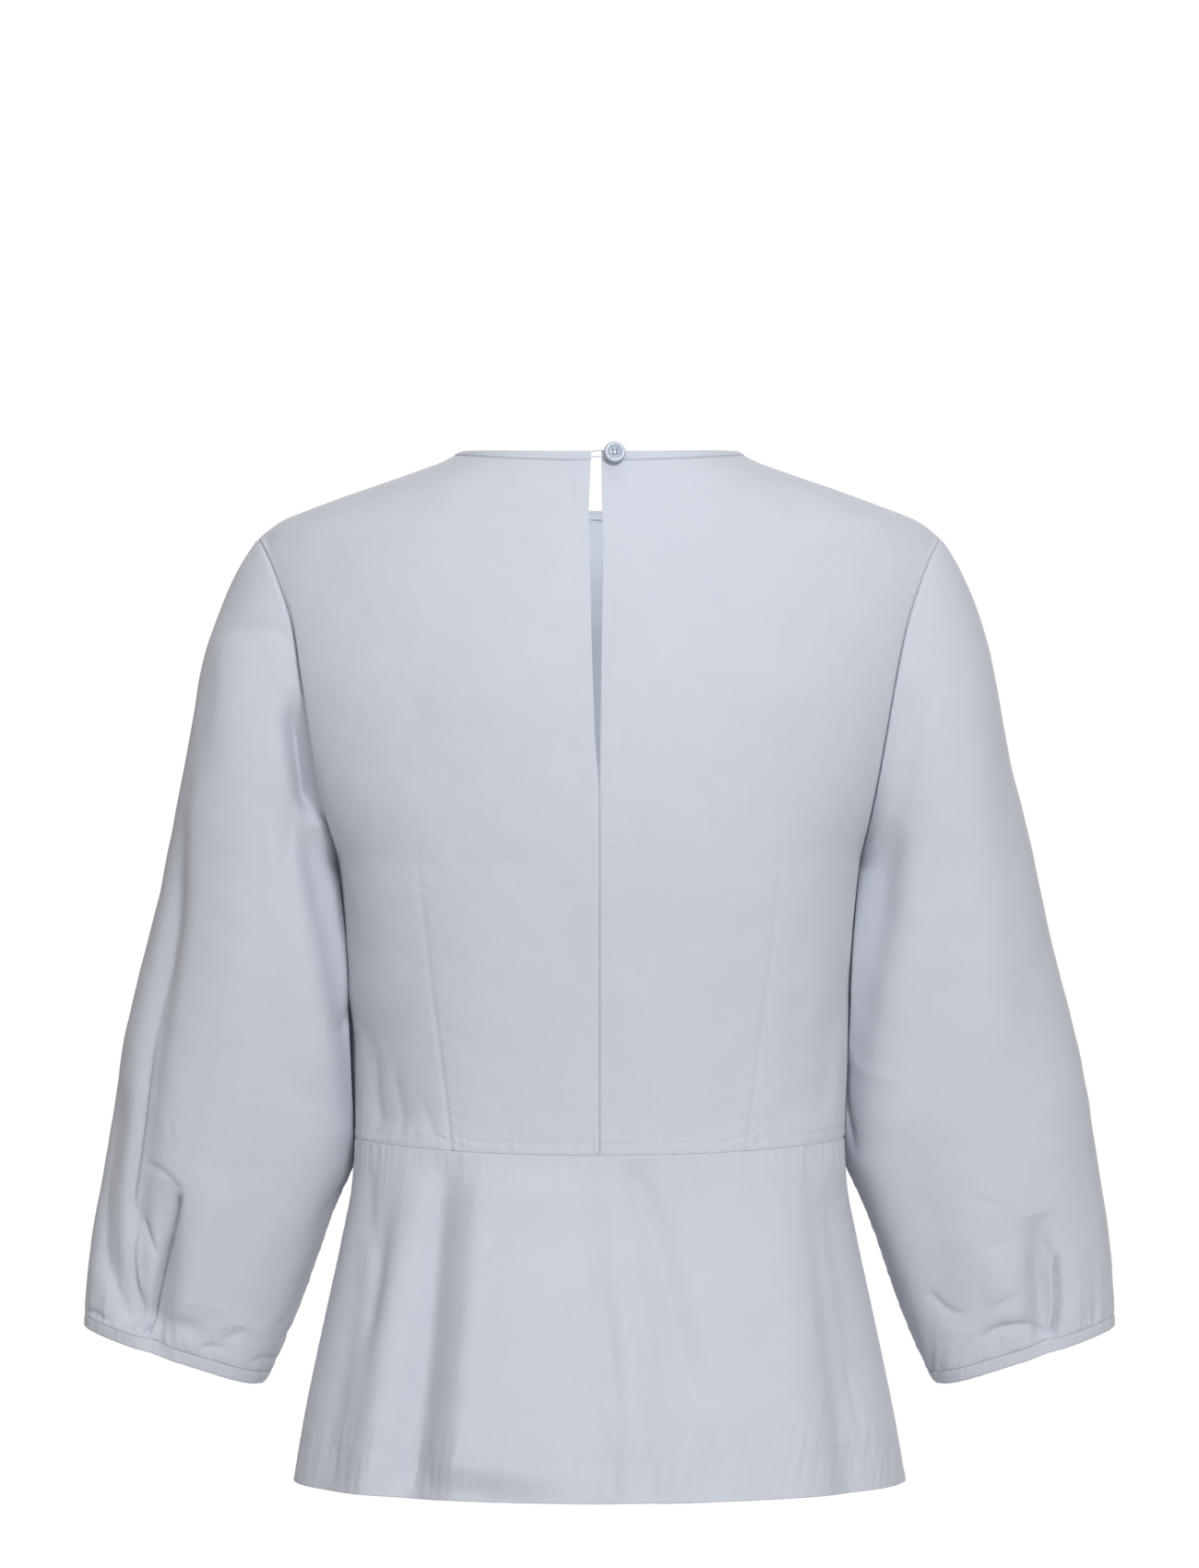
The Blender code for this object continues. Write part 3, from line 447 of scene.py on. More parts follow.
        (1.0, 8, 7, 0.3, 0.2, 214, 1330, 206, 1400, 200, 1450),
        (-1.1, 5, 4, 0.3, 0.3, 120, 1424, 148, 1432, 172, 1446),
        (-1.1, 5, 4, 0.3, 0.3, 252, 1452, 280, 1456, 306, 1466),
    ),
    "sleeve_right_front": (
        (-2.4, 14, 16, 0.4, 0.4, 980, 730, 966, 810, 952, 880),
        (-1.3, 14, 16, 0.4, 0.5, 962, 880, 964, 980, 950, 1070),
        (-1.5, 9, 14, 0.4, 0.4, 1098, 880, 1108, 1000, 1122, 1110),
        (-2.6, 4, 5, 0.3, 0.05, 1068, 1330, 1076, 1396, 1088, 1464),
        (1.0, 7, 8, 0.3, 0.2, 1092, 1330, 1100, 1400, 1104, 1450),
        (-1.1, 4, 5, 0.3, 0.3, 1128, 1446, 1152, 1434, 1180, 1424),
        (-1.0, 4, 5, 0.3, 0.3, 1000, 1462, 1026, 1456, 1052, 1460),
    ),
}
CREASE_SAMPLES = 12
CREASE_HOLD = 0.004
CRISP_WIDTH = 10
CRISP_EDGE = 0.3
CRISP_FALL = 1.5


def row_edge_x(z):
    """Half-width of a panel at its edge: the shoulder, armhole or side seam, from the top down."""
    below = np.where(z > UNDERARM_Z, armhole["x"](z), side_seam["x"](z))
    return np.where(z >= SHOULDER_TIP_Z, shoulder["x"](z), below)


def armhole_depth(z, face):
    """How far the armhole seam lies behind or before the shoulder seam at a height."""
    share = (z - ARMHOLE_MID_Z) / (ARMHOLE_HEIGHT / 2)
    half_depth = ARMHOLE_BACK if face == "back" else ARMHOLE_FRONT
    return half_depth * np.sqrt(np.clip(1 - share * share, 0, 1))


def section(z, face):
    """Half-width, depth and squareness of the level section that the panels lie on."""
    depth, square = profile[face](z), profile["squareness"](z)
    edge_share = (armhole_depth(z, face) / depth) ** square
    beside_armhole = (UNDERARM_Z < z) & (z < SHOULDER_TIP_Z)
    widening = np.where(beside_armhole, (1 - edge_share) ** (1 / square), 1.0)
    return row_edge_x(z) / widening, depth, square


def body_points(x, z, face):
    """Points of the outer cloth surface at x and z."""
    half_width, depth, square = section(z, face)
    share = np.clip(np.abs(x) / half_width, 0, 1) ** square
    y = depth * (1 - share) ** (1 / square)
    return np.stack((x, -y if face == "back" else y, z), axis=-1)


def edge_angle(face, edge_z):
    """The angle round the level section at which the panel's edge lies."""
    half_width, _, square = section(edge_z, face)
    return np.arcsin(np.clip((row_edge_x(edge_z) / half_width) ** (square / 2), 0, 1))


def panel_points(face, across, edge_z):
    """A panel's points: across runs from -1 to 1 between its edges, along the row that ends at edge_z."""
    half_width, _, square = section(edge_z, face)
    x = half_width * np.sin(np.abs(across) * edge_angle(face, edge_z)) ** (2 / square)
    share = x / row_edge_x(edge_z)
    centre_z = row_centre[face](edge_z)
    z = centre_z + (edge_z - centre_z) * share**ROW_BEND
    if face == "back":
        opened = np.where(np.signbit(across), slit["left"](z), slit["right"](z)) * (1 - share)
        x = x + np.where(edge_z >= WAIST_SIDE_Z, opened, 0.0)
    return body_points(np.copysign(x, across), z, face)


def denser_at_ends(count, pull):
    """Shares from 0 to 1 in count steps, closer together near both ends."""
    t = np.linspace(0, 1, count + 1)
    return (1 - pull) * t + pull * t * t * (3 - 2 * t)


def steps_between(marks, counts, pull=0.7):
    """Values from the first mark to the last, with a count of steps between each pair, denser at marks."""
    values = [marks[:1]]
    for start, end, count in zip(marks, marks[1:], counts):
        values.append(start + (end - start) * denser_at_ends(count, pull)[1:])
    return np.concatenate(values)


def dart_stations(face, edge_z, inside, outside):
    """Across values from the centre line over the dart to the edge, one row for each edge height."""
    half_width, _, square = section(edge_z, face)
    dart_x = np.minimum(darts[face]["x"](row_centre[face](edge_z)), DART_LIMIT * row_edge_x(edge_z))
    dart = np.arcsin(np.clip((dart_x / half_width) ** (square / 2), 0, 1)) / edge_angle(face, edge_z)
    to_dart = dart[:, None] * denser_at_ends(inside, 0.7)
    to_edge = dart[:, None] + (1 - dart[:, None]) * denser_at_ends(outside, 0.7)[1:]
    return np.concatenate((to_dart, to_edge), axis=1)


def panel_grid(face, half, edge_z, inside, outside):
    """A bodice panel's or neck band's base points, one row for each edge height."""
    across = dart_stations(face, edge_z, inside, outside)
    if half == "left":
        across = -across[:, ::-1]
    if half == "both":
        across = np.concatenate((-across[:, :0:-1], across), axis=1)
    return panel_points(face, across, edge_z[:, None] + 0 * across)


def lengths(points, axis):
    """The way along a line of points, or from a grid's first row or column, to each point."""
    steps = np.linalg.norm(np.diff(points, axis=axis), axis=-1)
    first = np.zeros_like(np.take(steps, [0], axis=axis))
    return np.cumsum(np.concatenate((first, steps), axis=axis), axis=axis)


def normals_of(points, middle, closed=False):
    """Unit normals of a grid of points, on the side that faces away from middle."""
    if closed:
        points = np.concatenate((points[:, -1:], points, points[:, :1]), axis=1)
    across, down = np.gradient(points, axis=1), np.gradient(points, axis=0)
    normal = np.cross(across, down)
    normal /= np.maximum(np.linalg.norm(normal, axis=-1, keepdims=True), 1e-12)
    if np.mean(np.sum(normal * (points - middle), axis=-1)) < 0:
        normal = -normal
    return normal[:, 1:-1] if closed else normal


def seen_at(points):
    """Where the camera sees points, in pixels of the picture."""
    scale = CAMERA_DISTANCE / (CAMERA_DISTANCE + points[..., 1]) / PIXEL
    across = PICTURE_WIDTH / 2 + points[..., 0] * scale
    down = PICTURE_HEIGHT / 2 - (points[..., 2] - CAMERA_Z) * scale
    return np.stack((across, down), axis=-1)


def eased(share):
    """A share, held between 0 and 1, with a soft start and end."""
    share = np.clip(share, 0, 1)
    return share * share * (3 - 2 * share)


def smooth_line(numbers):
    """Evenly spaced points on a smooth line through a few points, given as x, y, x, y and so on."""
    points = np.array(numbers, float).reshape(-1, 2)
    way = lengths(points, 0)
    at = np.linspace(0, way[-1], CREASE_SAMPLES * (len(points) - 1) + 1)
    return np.stack([Curve(way, points[:, i])(at) for i in (0, 1)], axis=-1)


def creases(name, points):
    """How far the listed creases of a piece move its cloth, in metres."""
    seen = seen_at(points)
    relief = np.zeros(seen.shape[:2])
    for depth, low, high, fade_in, fade_out, *numbers in CREASES[name]:
        line = smooth_line(numbers)
        along = np.gradient(line, axis=0)
        step = np.linalg.norm(along, axis=1, keepdims=True)
        along /= step
        off = seen[:, :, None, :] - line
        nearest = np.argmin(np.sum(off * off, axis=-1), axis=-1)
        off = np.take_along_axis(off, nearest[:, :, None, None], axis=2)[:, :, 0]
        way = along[nearest]
        share = (nearest + np.sum(off * way, axis=-1) / step[nearest, 0]) / (len(line) - 1)
        side = off[..., 0] * way[..., 1] - off[..., 1] * way[..., 0]
        width = np.where(side < 0, low, high)
        soft = np.exp(-((side / width) ** 2))
        crisp = np.exp(CRISP_FALL * (CRISP_EDGE - np.hypot(side / width, CRISP_EDGE)))
        fade = eased(share / fade_in) * eased((1 - share) / fade_out)
        relief += depth / 1000 * np.where(width < CRISP_WIDTH, crisp, soft) * fade
    return relief


def ripples(way, seed, longest=0.013):
    """Uneven ripples along a seam, mostly between -1 and 1."""
    random = np.random.default_rng(seed)
    total = np.zeros_like(way)
    for share in (1.0, 0.71, 0.53, 0.39):
        length = longest * share
        swell_length = length * random.uniform(4, 7)
        swell = 0.5 + 0.5 * np.sin(way * math.tau / swell_length + random.uniform(0, math.tau))
        total += swell * np.sin(way * math.tau / length + random.uniform(0, math.tau))
    return total / 2


def undulation(points, size, seed, waves=16):
    """Soft uneven waves of about one size over the cloth, mostly between -1 and 1."""
    random = np.random.default_rng(seed)
    total = np.zeros(points.shape[:-1])
    for _ in range(waves):
        direction = random.normal(size=3)
        direction /= np.linalg.norm(direction)
        length = size * random.uniform(0.7, 1.6)
        total += np.sin(points @ direction * math.tau / length + random.uniform(0, math.tau))
    return total / math.sqrt(waves)


def soft_waves(points):
    """The cloth's own slackness: broad waves and a little fine unevenness, the same on all pieces."""
    return 0.0005 * undulation(points, 0.075, 1) + 0.00012 * undulation(points, 0.022, 2)


def seam_dip(distance):
    """How far cloth sinks towards a seam line."""
    return -SEAM_DEPTH * np.exp(-((distance / SEAM_WIDTH) ** 2))


def puckers(distance, way, seed, height, reach, longest=0.013):
    """Ripples that stand across a seam, held flat along it and dying out away from it."""
    away = np.abs(distance)
    return height * ripples(way, seed, longest) * np.exp(-away / reach) * eased(away / PUCKER_HOLD)


def linked(name, vertices, faces, seat=None):
    """A smooth-shaded mesh object in the scene, moved onto a seat if one is given."""
    mesh = bpy.data.meshes.new(name)
    mesh.from_pydata(np.array(vertices).tolist(), [], faces)
    if seat:
        mesh.transform(seat)
    mesh.shade_smooth()
    piece = bpy.data.objects.new(name, mesh)
    bpy.context.scene.collection.objects.link(piece)
    return piece


def tube_faces(rings, sides, first=0):
    """Faces of a closed tube whose rings of points follow each other from the index first on."""
    faces = []
    for start in range(first, first + (rings - 1) * sides, sides):
        for i in range(sides):
            j = (i + 1) % sides
            faces.append((start + i, start + j, start + sides + j, start + sides + i))
    last = first + (rings - 1) * sides
    return faces + [tuple(reversed(range(first, first + sides))), tuple(range(last, last + sides))]


def shell(name, outer, thickness, middle, closed=False):
    """A thin closed wall on a grid of outer points, with cloth coordinates in metres in its UV map."""
    normal = normals_of(outer, middle, closed)
    inner = outer - normal * np.asarray(thickness)[..., None]
    rows, columns = outer.shape[:2]
    count = rows * columns
    index = np.arange(count).reshape(rows, columns)
    wrapped = np.concatenate((outer, outer[:, :1]), axis=1) if closed else outer
    cloth = np.stack((lengths(wrapped, 1), lengths(wrapped, 0)), axis=-1)
    if closed:
        index = np.concatenate((index, index[:, :1]), axis=1)

    def corners(grid):
        around = (grid[:-1, :-1], grid[:-1, 1:], grid[1:, 1:], grid[1:, :-1])
        return np.stack(around, axis=2).reshape(-1, 4, *grid.shape[2:])

    def rim(first, second):
        return np.stack((first[:-1], first[1:], second[1:], second[:-1]), axis=1)

    def edges(grid):
        return [grid[0][::-1], grid[-1]] + ([] if closed else [grid[:, 0], grid[:, -1][::-1]])

    faces, places = corners(index), corners(cloth)
    a, b, c, d = (outer.reshape(-1, 3)[faces[:, i]] for i in range(4))
    facing = np.mean(np.sum(np.cross(c - a, d - b) * normal.reshape(-1, 3)[faces[:, 0]], axis=-1))
    all_faces, all_places = [faces, faces[:, ::-1] + count], [places, places[:, ::-1]]
    for line, cloth_line in zip(edges(index), edges(cloth)):
        all_faces.append(rim(line, line + count))
        all_places.append(rim(cloth_line, cloth_line))
    all_faces, all_places = np.concatenate(all_faces), np.concatenate(all_places)
    if facing < 0:
        all_faces, all_places = all_faces[:, ::-1], all_places[:, ::-1]
    piece = linked(name, np.concatenate((outer.reshape(-1, 3), inner.reshape(-1, 3))), all_faces.tolist())
    piece.data.uv_layers.new(name="cloth").data.foreach_set("uv", all_places.reshape(-1, 2).ravel())
    piece.data.validate()
    return piece, normal


def dress(piece, material, slot, *nodes):
    """Gives a piece its material and body, and lets it stand for its CAD nodes."""
    piece.data.materials.append(material)
    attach(piece, "root")
    if nodes:
        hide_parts(*nodes)


def bodice_rows(waist_steps):
    """Edge heights of a bodice panel's rows."""
    yoke = steps_between((BAND_EDGE_Z, SHOULDER_TIP_Z), (22,), 0.5)
    turns = np.radians(np.linspace(0, 180, 89)[1:])
    beside_sleeve = ARMHOLE_MID_Z + ARMHOLE_HEIGHT / 2 * np.cos(turns)
    marks = (UNDERARM_Z, WAIST_SIDE_Z + WAIST_STITCH, WAIST_SIDE_Z)
    side = steps_between(marks, (waist_steps, -WAIST_STITCH_ROW - 1))[1:]
    return np.concatenate((yoke, beside_sleeve, side))


def smoothed_rows(points, edge_z, amount):
    """Points with their rows blurred into each other, where amount is above zero."""
    weights = np.exp(-(((edge_z[:, None] - edge_z) / ROW_BLUR) ** 2)) * np.abs(np.gradient(edge_z))
    weights /= weights.sum(axis=1, keepdims=True)
    return points + (np.einsum("ij,jkc->ikc", weights, points) - points) * amount[..., None]


def bodice(name, face, half, inside, outside, waist_steps, seed):
    """One panel of the bodice with its dart, and the line of its waist stitching."""
    edge_z = bodice_rows(waist_steps)
    base = panel_grid(face, half, edge_z, inside, outside)
    middle = np.array((0.0, 0.0, -0.2))
    way, down = lengths(base, 1), lengths(base, 0)
    from_left, from_right = way, way[:, -1:] - way
    above_waist = down[-1:] - down
    inland = eased(from_left / BLUR_SIDE) * eased(from_right / BLUR_SIDE)
    base = smoothed_rows(base, edge_z, inland * eased(down / BLUR_END) * eased(above_waist / BLUR_END))
    normal = normals_of(base, middle)
    to_dart = np.abs(base[..., 0]) - darts[face]["x"](base[..., 2])
    groove = darts[face]["groove"](base[..., 2])
    edges = np.minimum(from_left, from_right)
    off_seams = eased(edges / CALM_SIDE) * eased(above_waist / CALM_END) * eased(down / CALM_END)
    hold = eased(edges / CREASE_HOLD) * eased(above_waist / CREASE_HOLD)
    relief = creases(face, base) * hold + soft_waves(base) * off_seams
    relief += seam_dip(from_left) + seam_dip(from_right) + seam_dip(down) + seam_dip(above_waist)
    relief += 0.8 * seam_dip(above_waist - WAIST_STITCH)
    relief -= groove * 0.45 * np.exp(-((to_dart / GROOVE_WIDTH) ** 2))
    dart_puckers = puckers(to_dart, down, seed, height=0.00045, reach=0.008, longest=0.011)
    relief += groove / DEEPEST_GROOVE * dart_puckers
    relief += puckers(above_waist, way, seed + 1, height=0.0006, reach=0.009)
    relief += puckers(down, way, seed + 2, height=0.00012, reach=0.006)
    relief += puckers(edges, down, seed + 3, height=0.00022, reach=0.007)
    thickness = np.full(base.shape[:2], CLOTH)
    if half != "both":
        from_centre = from_right if half == "left" else from_left
        open_here = eased((base[..., 2] - SLIT_END_Z) / SLIT_FADE)
        relief -= open_here * seam_dip(from_centre)
        relief += FACING_PROUD * open_here * (1 - eased((from_centre - FACING_WIDTH) / EDGE_ROUND))
        thickness += (FACING_CLOTH - CLOTH) * open_here * (from_centre < FACING_WIDTH)
    outer = base + normal * relief[..., None]
    piece, surface = shell("cloth_" + name, outer, thickness, middle)
    return piece, (outer[WAIST_STITCH_ROW], surface[WAIST_STITCH_ROW])


def neck_band(name, face, half, inside, outside):
    """The neck band above a bodice panel, rounded at its upper edge, and its stitch line."""
    edge_z = steps_between((0.0, BAND_EDGE_Z), (9,), 0.6)
    base = panel_grid(face, half, edge_z, inside, outside)
    middle = np.array((0.0, 0.0, -0.2))
    normal = normals_of(base, middle)
    way, down = lengths(base, 1), lengths(base, 0)
    above_seam = down[-1:] - down
    relief = BAND_PROUD - 0.0006 * (1 - eased(down / EDGE_ROUND)) + 0.9 * seam_dip(above_seam)
    relief += 0.00012 * ripples(way, 40, 0.009)
    outer = base + normal * relief[..., None]
    piece, surface = shell("cloth_" + name, outer, np.full(base.shape[:2], BAND_CLOTH), middle)
    return piece, (outer[-3], surface[-3])


def peplum_folds(face, x, share):
    """How far the solids' peplum folds move the cloth out at x, share of the way from waist to hem."""
    relief = np.zeros_like(x)
    for waist_x, hem_x, half_width, depth in PEPLUM_FOLDS[face]:
        place = waist_x + (hem_x - waist_x) * share
        spread = half_width * (FOLD_WAIST_SHARE + (1 - FOLD_WAIST_SHARE) * share)
        relief += depth * np.exp(-(((x - place) / spread) ** 2))
    return relief * np.sin(math.pi / 2 * np.clip(share, 0, 1)) ** FOLD_RISE


def peplum(face, columns, rows, seed):
    """The flared lower panel of one face with its turned-up hem, and the hem's stitch line."""
    edge_z = steps_between((WAIST_SIDE_Z, HEM_TOP_Z, HEM_Z), (rows, 16), 0.6)
    across = np.linspace(-1, 1, columns + 1)[None, :] + 0 * edge_z[:, None]
    base = panel_points(face, across, edge_z[:, None] + 0 * across)
    middle = np.array((0.0, 0.0, -0.5))
    normal = normals_of(base, middle)
    share = ((WAIST_SIDE_Z - edge_z) / (WAIST_SIDE_Z - HEM_Z))[:, None] + 0 * across
    off_sides = 1 - np.abs(across) ** SEAM_FADE
    way, down = lengths(base, 1), lengths(base, 0)
    above_hem = down[-1:] - down
    edges = np.minimum(way, way[:, -1:] - way)
    stitch_z = base[..., 2] - HEM_TOP_Z
    folds = peplum_folds(face, base[..., 0], share)
    folds += creases("peplum_" + face, base) * eased(down / CREASE_HOLD)
    relief = folds * off_sides + soft_waves(base) * eased(edges / CALM_SIDE) * eased(down / CALM_END)
    relief += seam_dip(edges) + seam_dip(down) + 0.5 * seam_dip(stitch_z)
    relief += puckers(down, way, seed, height=0.0005, reach=0.012)
    relief += puckers(stitch_z, way, seed + 1, height=0.0006, reach=0.010)
    relief += puckers(above_hem, way, seed + 2, height=0.0004, reach=0.018, longest=0.017)
    relief += puckers(edges, down, seed + 3, height=0.0002, reach=0.007)
    thickness = CLOTH + (HEM_CLOTH - CLOTH) * (1 - eased((stitch_z + 0.0005) / 0.001))
    outer = base + normal * relief[..., None]
    piece, surface = shell("cloth_peplum_" + face, outer, thickness, middle)
    return piece, (outer[rows], surface[rows])


def armhole_points(angle):
    """Where the sleeve starts at the armhole seam, at angles round it in radians."""
    z = ARMHOLE_MID_Z + ARMHOLE_HEIGHT / 2 * np.cos(angle)
    depth = np.where(np.sin(angle) > 0, ARMHOLE_BACK, ARMHOLE_FRONT)
    return np.stack((armhole["x"](z), -depth * np.sin(angle), z), axis=-1)


def ring_points(share, angle):
    """Points of the hanging sleeve below its cap."""
    ring = {name: curve(share) for name, curve in sleeve_rings.items()}
    outer = np.stack((ring["outer_x"], ring["middle_y"], ring["outer_z"]), axis=-1)
    inner = np.stack((ring["inner_x"], ring["middle_y"], ring["inner_z"]), axis=-1)
    behind = np.stack((0 * share, -ring["half_depth"], -CUFF_BACK_DIP * share), axis=-1)
    cosine, sine = np.cos(angle)[..., None], np.sin(angle)[..., None]
    return (outer + inner) / 2 + (outer - inner) / 2 * cosine + behind * sine


def unit(vectors):
    """Vectors made one long."""
    return vectors / np.linalg.norm(vectors, axis=-1, keepdims=True)


def sleeve_form(share, angle):
    """The smooth sleeve: a cap that leaves the armhole outwards and turns down into the rings."""
    below = ring_points(np.maximum(share, CAP_SHARE), angle)
    top = np.full_like(share, CAP_SHARE)
    start, end = armhole_points(angle), ring_points(top, angle)
    reach = np.linalg.norm(end - start, axis=-1, keepdims=True)
    upper = ((1 + np.cos(angle)) / 2)[..., None]
    leave = UNDERARM_LEAVE * (1 - upper) + SHOULDER_LEAVE * upper
    leave = leave - np.stack((0 * share, LEAVE_FAN * np.sin(angle), 0 * share), axis=-1)
    leave = unit(leave) * reach
    arrive = unit(ring_points(top + SHARE_STEP, angle) - end) * reach
    t = (share / CAP_SHARE)[..., None]
    blend = t * t * (3 - 2 * t)
    cap = start * (1 - blend) + end * blend + t * (1 - t) * ((1 - t) * leave - t * arrive)
    return np.where(t < 1, cap, below)


def clear_of_body(points):
    """The points, moved out sideways where they would touch the bodice or the peplum."""
    x, y, z = points[..., 0], points[..., 1], points[..., 2]
    limits = []
    for face in ("back", "front"):
        half_width, depth, square = section(z, face)
        share = np.clip(np.abs(y) / depth, 0, 1)
        limits.append(half_width * (1 - share**square) ** (1 / square))
    fade = np.clip((UNDERARM_Z - z) / GAP_FADE_HEIGHT, 0, 1)
    limit = np.where(y < 0, limits[0], limits[1]) + SLEEVE_BODY_GAP * fade
    return np.stack((np.where(z > UNDERARM_Z, x, np.maximum(x, limit)), y, z), axis=-1)


def sleeve_folds(side, share, angle):
    """How far the solids' sleeve folds move the cloth out at a place along and around it."""
    relief = np.zeros_like(share)
    for share_1, share_2, angle_1, angle_2, half_width, depth in SLEEVE_FOLDS[side]:
        along = np.clip((share - share_1) / (share_2 - share_1), 0, 1)
        place = np.radians(angle_1 + (angle_2 - angle_1) * along)
        off = (angle - place) * ARM_RADIUS / half_width
        relief += depth * np.exp(-off * off) * np.sin(math.pi * along) ** SLEEVE_FOLD_RISE
    return relief


def sleeve_grid(side, shares):
    """Base points and normals of a sleeve, mirrored for the left, with its shares and angles."""
    behind = np.linspace(0, 180, SLEEVE_BACK_COLUMNS, endpoint=False)
    before = np.linspace(180, 360, SLEEVE_FRONT_COLUMNS, endpoint=False)
    share, angle = np.meshgrid(shares, np.radians([*behind, *before]), indexing="ij")
    form = sleeve_form(share, angle)
    axis = form.mean(axis=1, keepdims=True)
    normal = normals_of(form, axis, closed=True)
    base = clear_of_body(form + normal * sleeve_folds(side, share, angle)[..., None])
    return base * MIRRORS[side], normal * MIRRORS[side], share, angle


def sleeve_corners(share, angle):
    """How far the sleeve's cloth stands out beside its inner edge, where it hangs flat."""
    relief = np.zeros_like(share)
    for place, half_width, rise in SLEEVE_CORNERS:
        off = (np.degrees(angle) - place) / half_width
        relief += rise * np.exp(-off * off)
    return relief * eased((share - 0.08) / 0.2) * (1 - 0.45 * eased((share - 0.7) / 0.3))


def sleeve(side, seed):
    """One sleeve, from the armhole to the cuff seam."""
    shares = steps_between((0.0, CAP_SHARE, 0.62, 1.0), (34, 70, 100), 0.3)
    base, normal, share, angle = sleeve_grid(side, shares)
    down, way = lengths(base, 0), lengths(base, 1)
    above_cuff = down[-1:] - down
    facing = eased(0.5 - normal[..., 1] * 1.2)
    name = "sleeve_" + side
    relief = creases(name, base) * facing + creases(name + "_front", base) * (1 - facing)
    relief *= eased(down / 0.005) * eased(above_cuff / CREASE_HOLD)
    relief += sleeve_corners(share, angle)
    relief += soft_waves(base) * eased(down / 0.02) * eased(above_cuff / 0.01)
    relief += 2.5 * seam_dip(down) + 0.6 * seam_dip(above_cuff)
    relief += puckers(down, way, seed, height=0.0003, reach=0.010)
    relief += puckers(above_cuff, way, seed + 1, height=0.0008, reach=0.018, longest=0.021)
    relief += puckers(above_cuff, way, seed + 2, height=0.0006, reach=0.008, longest=0.010)
    underarm = (np.degrees(angle) - UNDERARM_ANGLE) * math.pi / 180 * ARM_RADIUS
    free = eased((share - 0.55) / 0.1)
    relief += (seam_dip(underarm) + puckers(underarm, down, seed + 3, height=0.0004, reach=0.006)) * free
    mirror = MIRRORS[side]
    outer = clear_of_body((base + normal * relief[..., None]) * mirror) * mirror
    middle = outer.mean(axis=1, keepdims=True)
    piece, _ = shell("cloth_" + name, outer, np.full(share.shape, CLOTH), middle, closed=True)
    return piece


def cuff(side):
    """The narrow band round a sleeve's end, and its stitch line."""
    shares = steps_between((1.0, CUFF_END), (14,), 0.6)
    base, normal, share, angle = sleeve_grid(side, shares)
    down, way = lengths(base, 0), lengths(base, 1)
    above_edge = down[-1:] - down
    relief = CUFF_PROUD + sleeve_corners(share, angle) + 0.6 * seam_dip(down)
    relief += 0.0003 * ripples(way, 60, 0.012) - 0.0005 * (1 - eased(above_edge / EDGE_ROUND))
    outer = base + normal * relief[..., None]
    middle = outer.mean(axis=1, keepdims=True)
    piece, surface = shell("cloth_cuff_" + side, outer, np.full(share.shape, BAND_CLOTH), middle, closed=True)
    around = [*range(outer.shape[1]), 0]
    return piece, (outer[CUFF_STITCH_ROW, around], surface[CUFF_STITCH_ROW, around])


STITCH = 0.0021
STITCH_PITCH = 0.0028
THREAD_RADIUS = 0.00022
THREAD_SIDES = 6
LOOK_AHEAD = 0.0005
STITCH_RINGS = (
    # share of the stitch, share of the thread's radius, lift in radii
    (0.0, 0.35, -0.9),
    (0.16, 0.85, 0.2),
    (0.5, 1.0, 0.5),
    (0.84, 0.85, 0.2),
    (1.0, 0.35, -0.9),
)


def on_line(at, way, values):
    """A line's values at a way along it."""
    return np.array([np.interp(at, way, column) for column in values.T])


def stitches(name, lines, material):
    """Short threads laid end to end along lines of points and normals."""
    vertices, faces = [], []
    for points, normals in lines:
        way = lengths(points, 0)
        for start in np.arange(STITCH_PITCH / 2, way[-1] - STITCH_PITCH, STITCH_PITCH):
            first = len(vertices)
            for share, radius, lift in STITCH_RINGS:
                at = start + share * STITCH
                place, out = on_line(at, way, points), on_line(at, way, normals)
                ahead = on_line(at + LOOK_AHEAD, way, points) - place
                side = np.cross(unit(ahead), out)
                for i in range(THREAD_SIDES):
                    turn = math.tau * i / THREAD_SIDES
                    spoke = side * math.cos(turn) + out * math.sin(turn)
                    vertices.append(place + (out * lift + spoke * radius) * THREAD_RADIUS)
            faces += tube_faces(len(STITCH_RINGS), THREAD_SIDES, first)
    dress(linked(name, vertices, faces), material, "thread")


class Graph:
    """A material's nodes, made and linked one by one."""

    def __init__(self, name):
        self.material = bpy.data.materials.new(name)
        self.material.use_nodes = True
        self.tree = self.material.node_tree
        self.shader = self.tree.nodes["Principled BSDF"]
        self.output = self.tree.nodes["Material Output"]

    def put(self, node, name, value):
        """Sets a node's input, or links another node's output to it."""
        if isinstance(value, bpy.types.NodeSocket):
            self.tree.links.new(value, node.inputs[name])
        else:
            node.inputs[name].default_value = value

    def node(self, kind, output=0, settings=(), **inputs):
        """A new node's output. Inputs are named with underscores for spaces, or numbered as _0, _1."""
        node = self.tree.nodes.new(kind)
        for name, value in dict(settings).items():
            setattr(node, name, value)
        for name, value in inputs.items():
            key = int(name[1:]) if name[1:].isdigit() else name.replace("_", " ")
            self.put(node, key, value)
        return node.outputs[output]

    def math(self, operation, a, b=0.0, c=0.0):
        """The output of a Math node."""
        return self.node("ShaderNodeMath", settings={"operation": operation}, _0=a, _1=b, _2=c)

    def mix(self, share, first, second):
        """The output of a node that mixes two colours."""
        settings = {"data_type": "RGBA"}
        return self.node("ShaderNodeMix", output=2, settings=settings, _0=share, _6=first, _7=second)

    def shade(self, **inputs):
        """Sets or links the surface shader's inputs, named with underscores for spaces."""
        for name, value in inputs.items():
            self.put(self.shader, name.replace("_", " "), value)


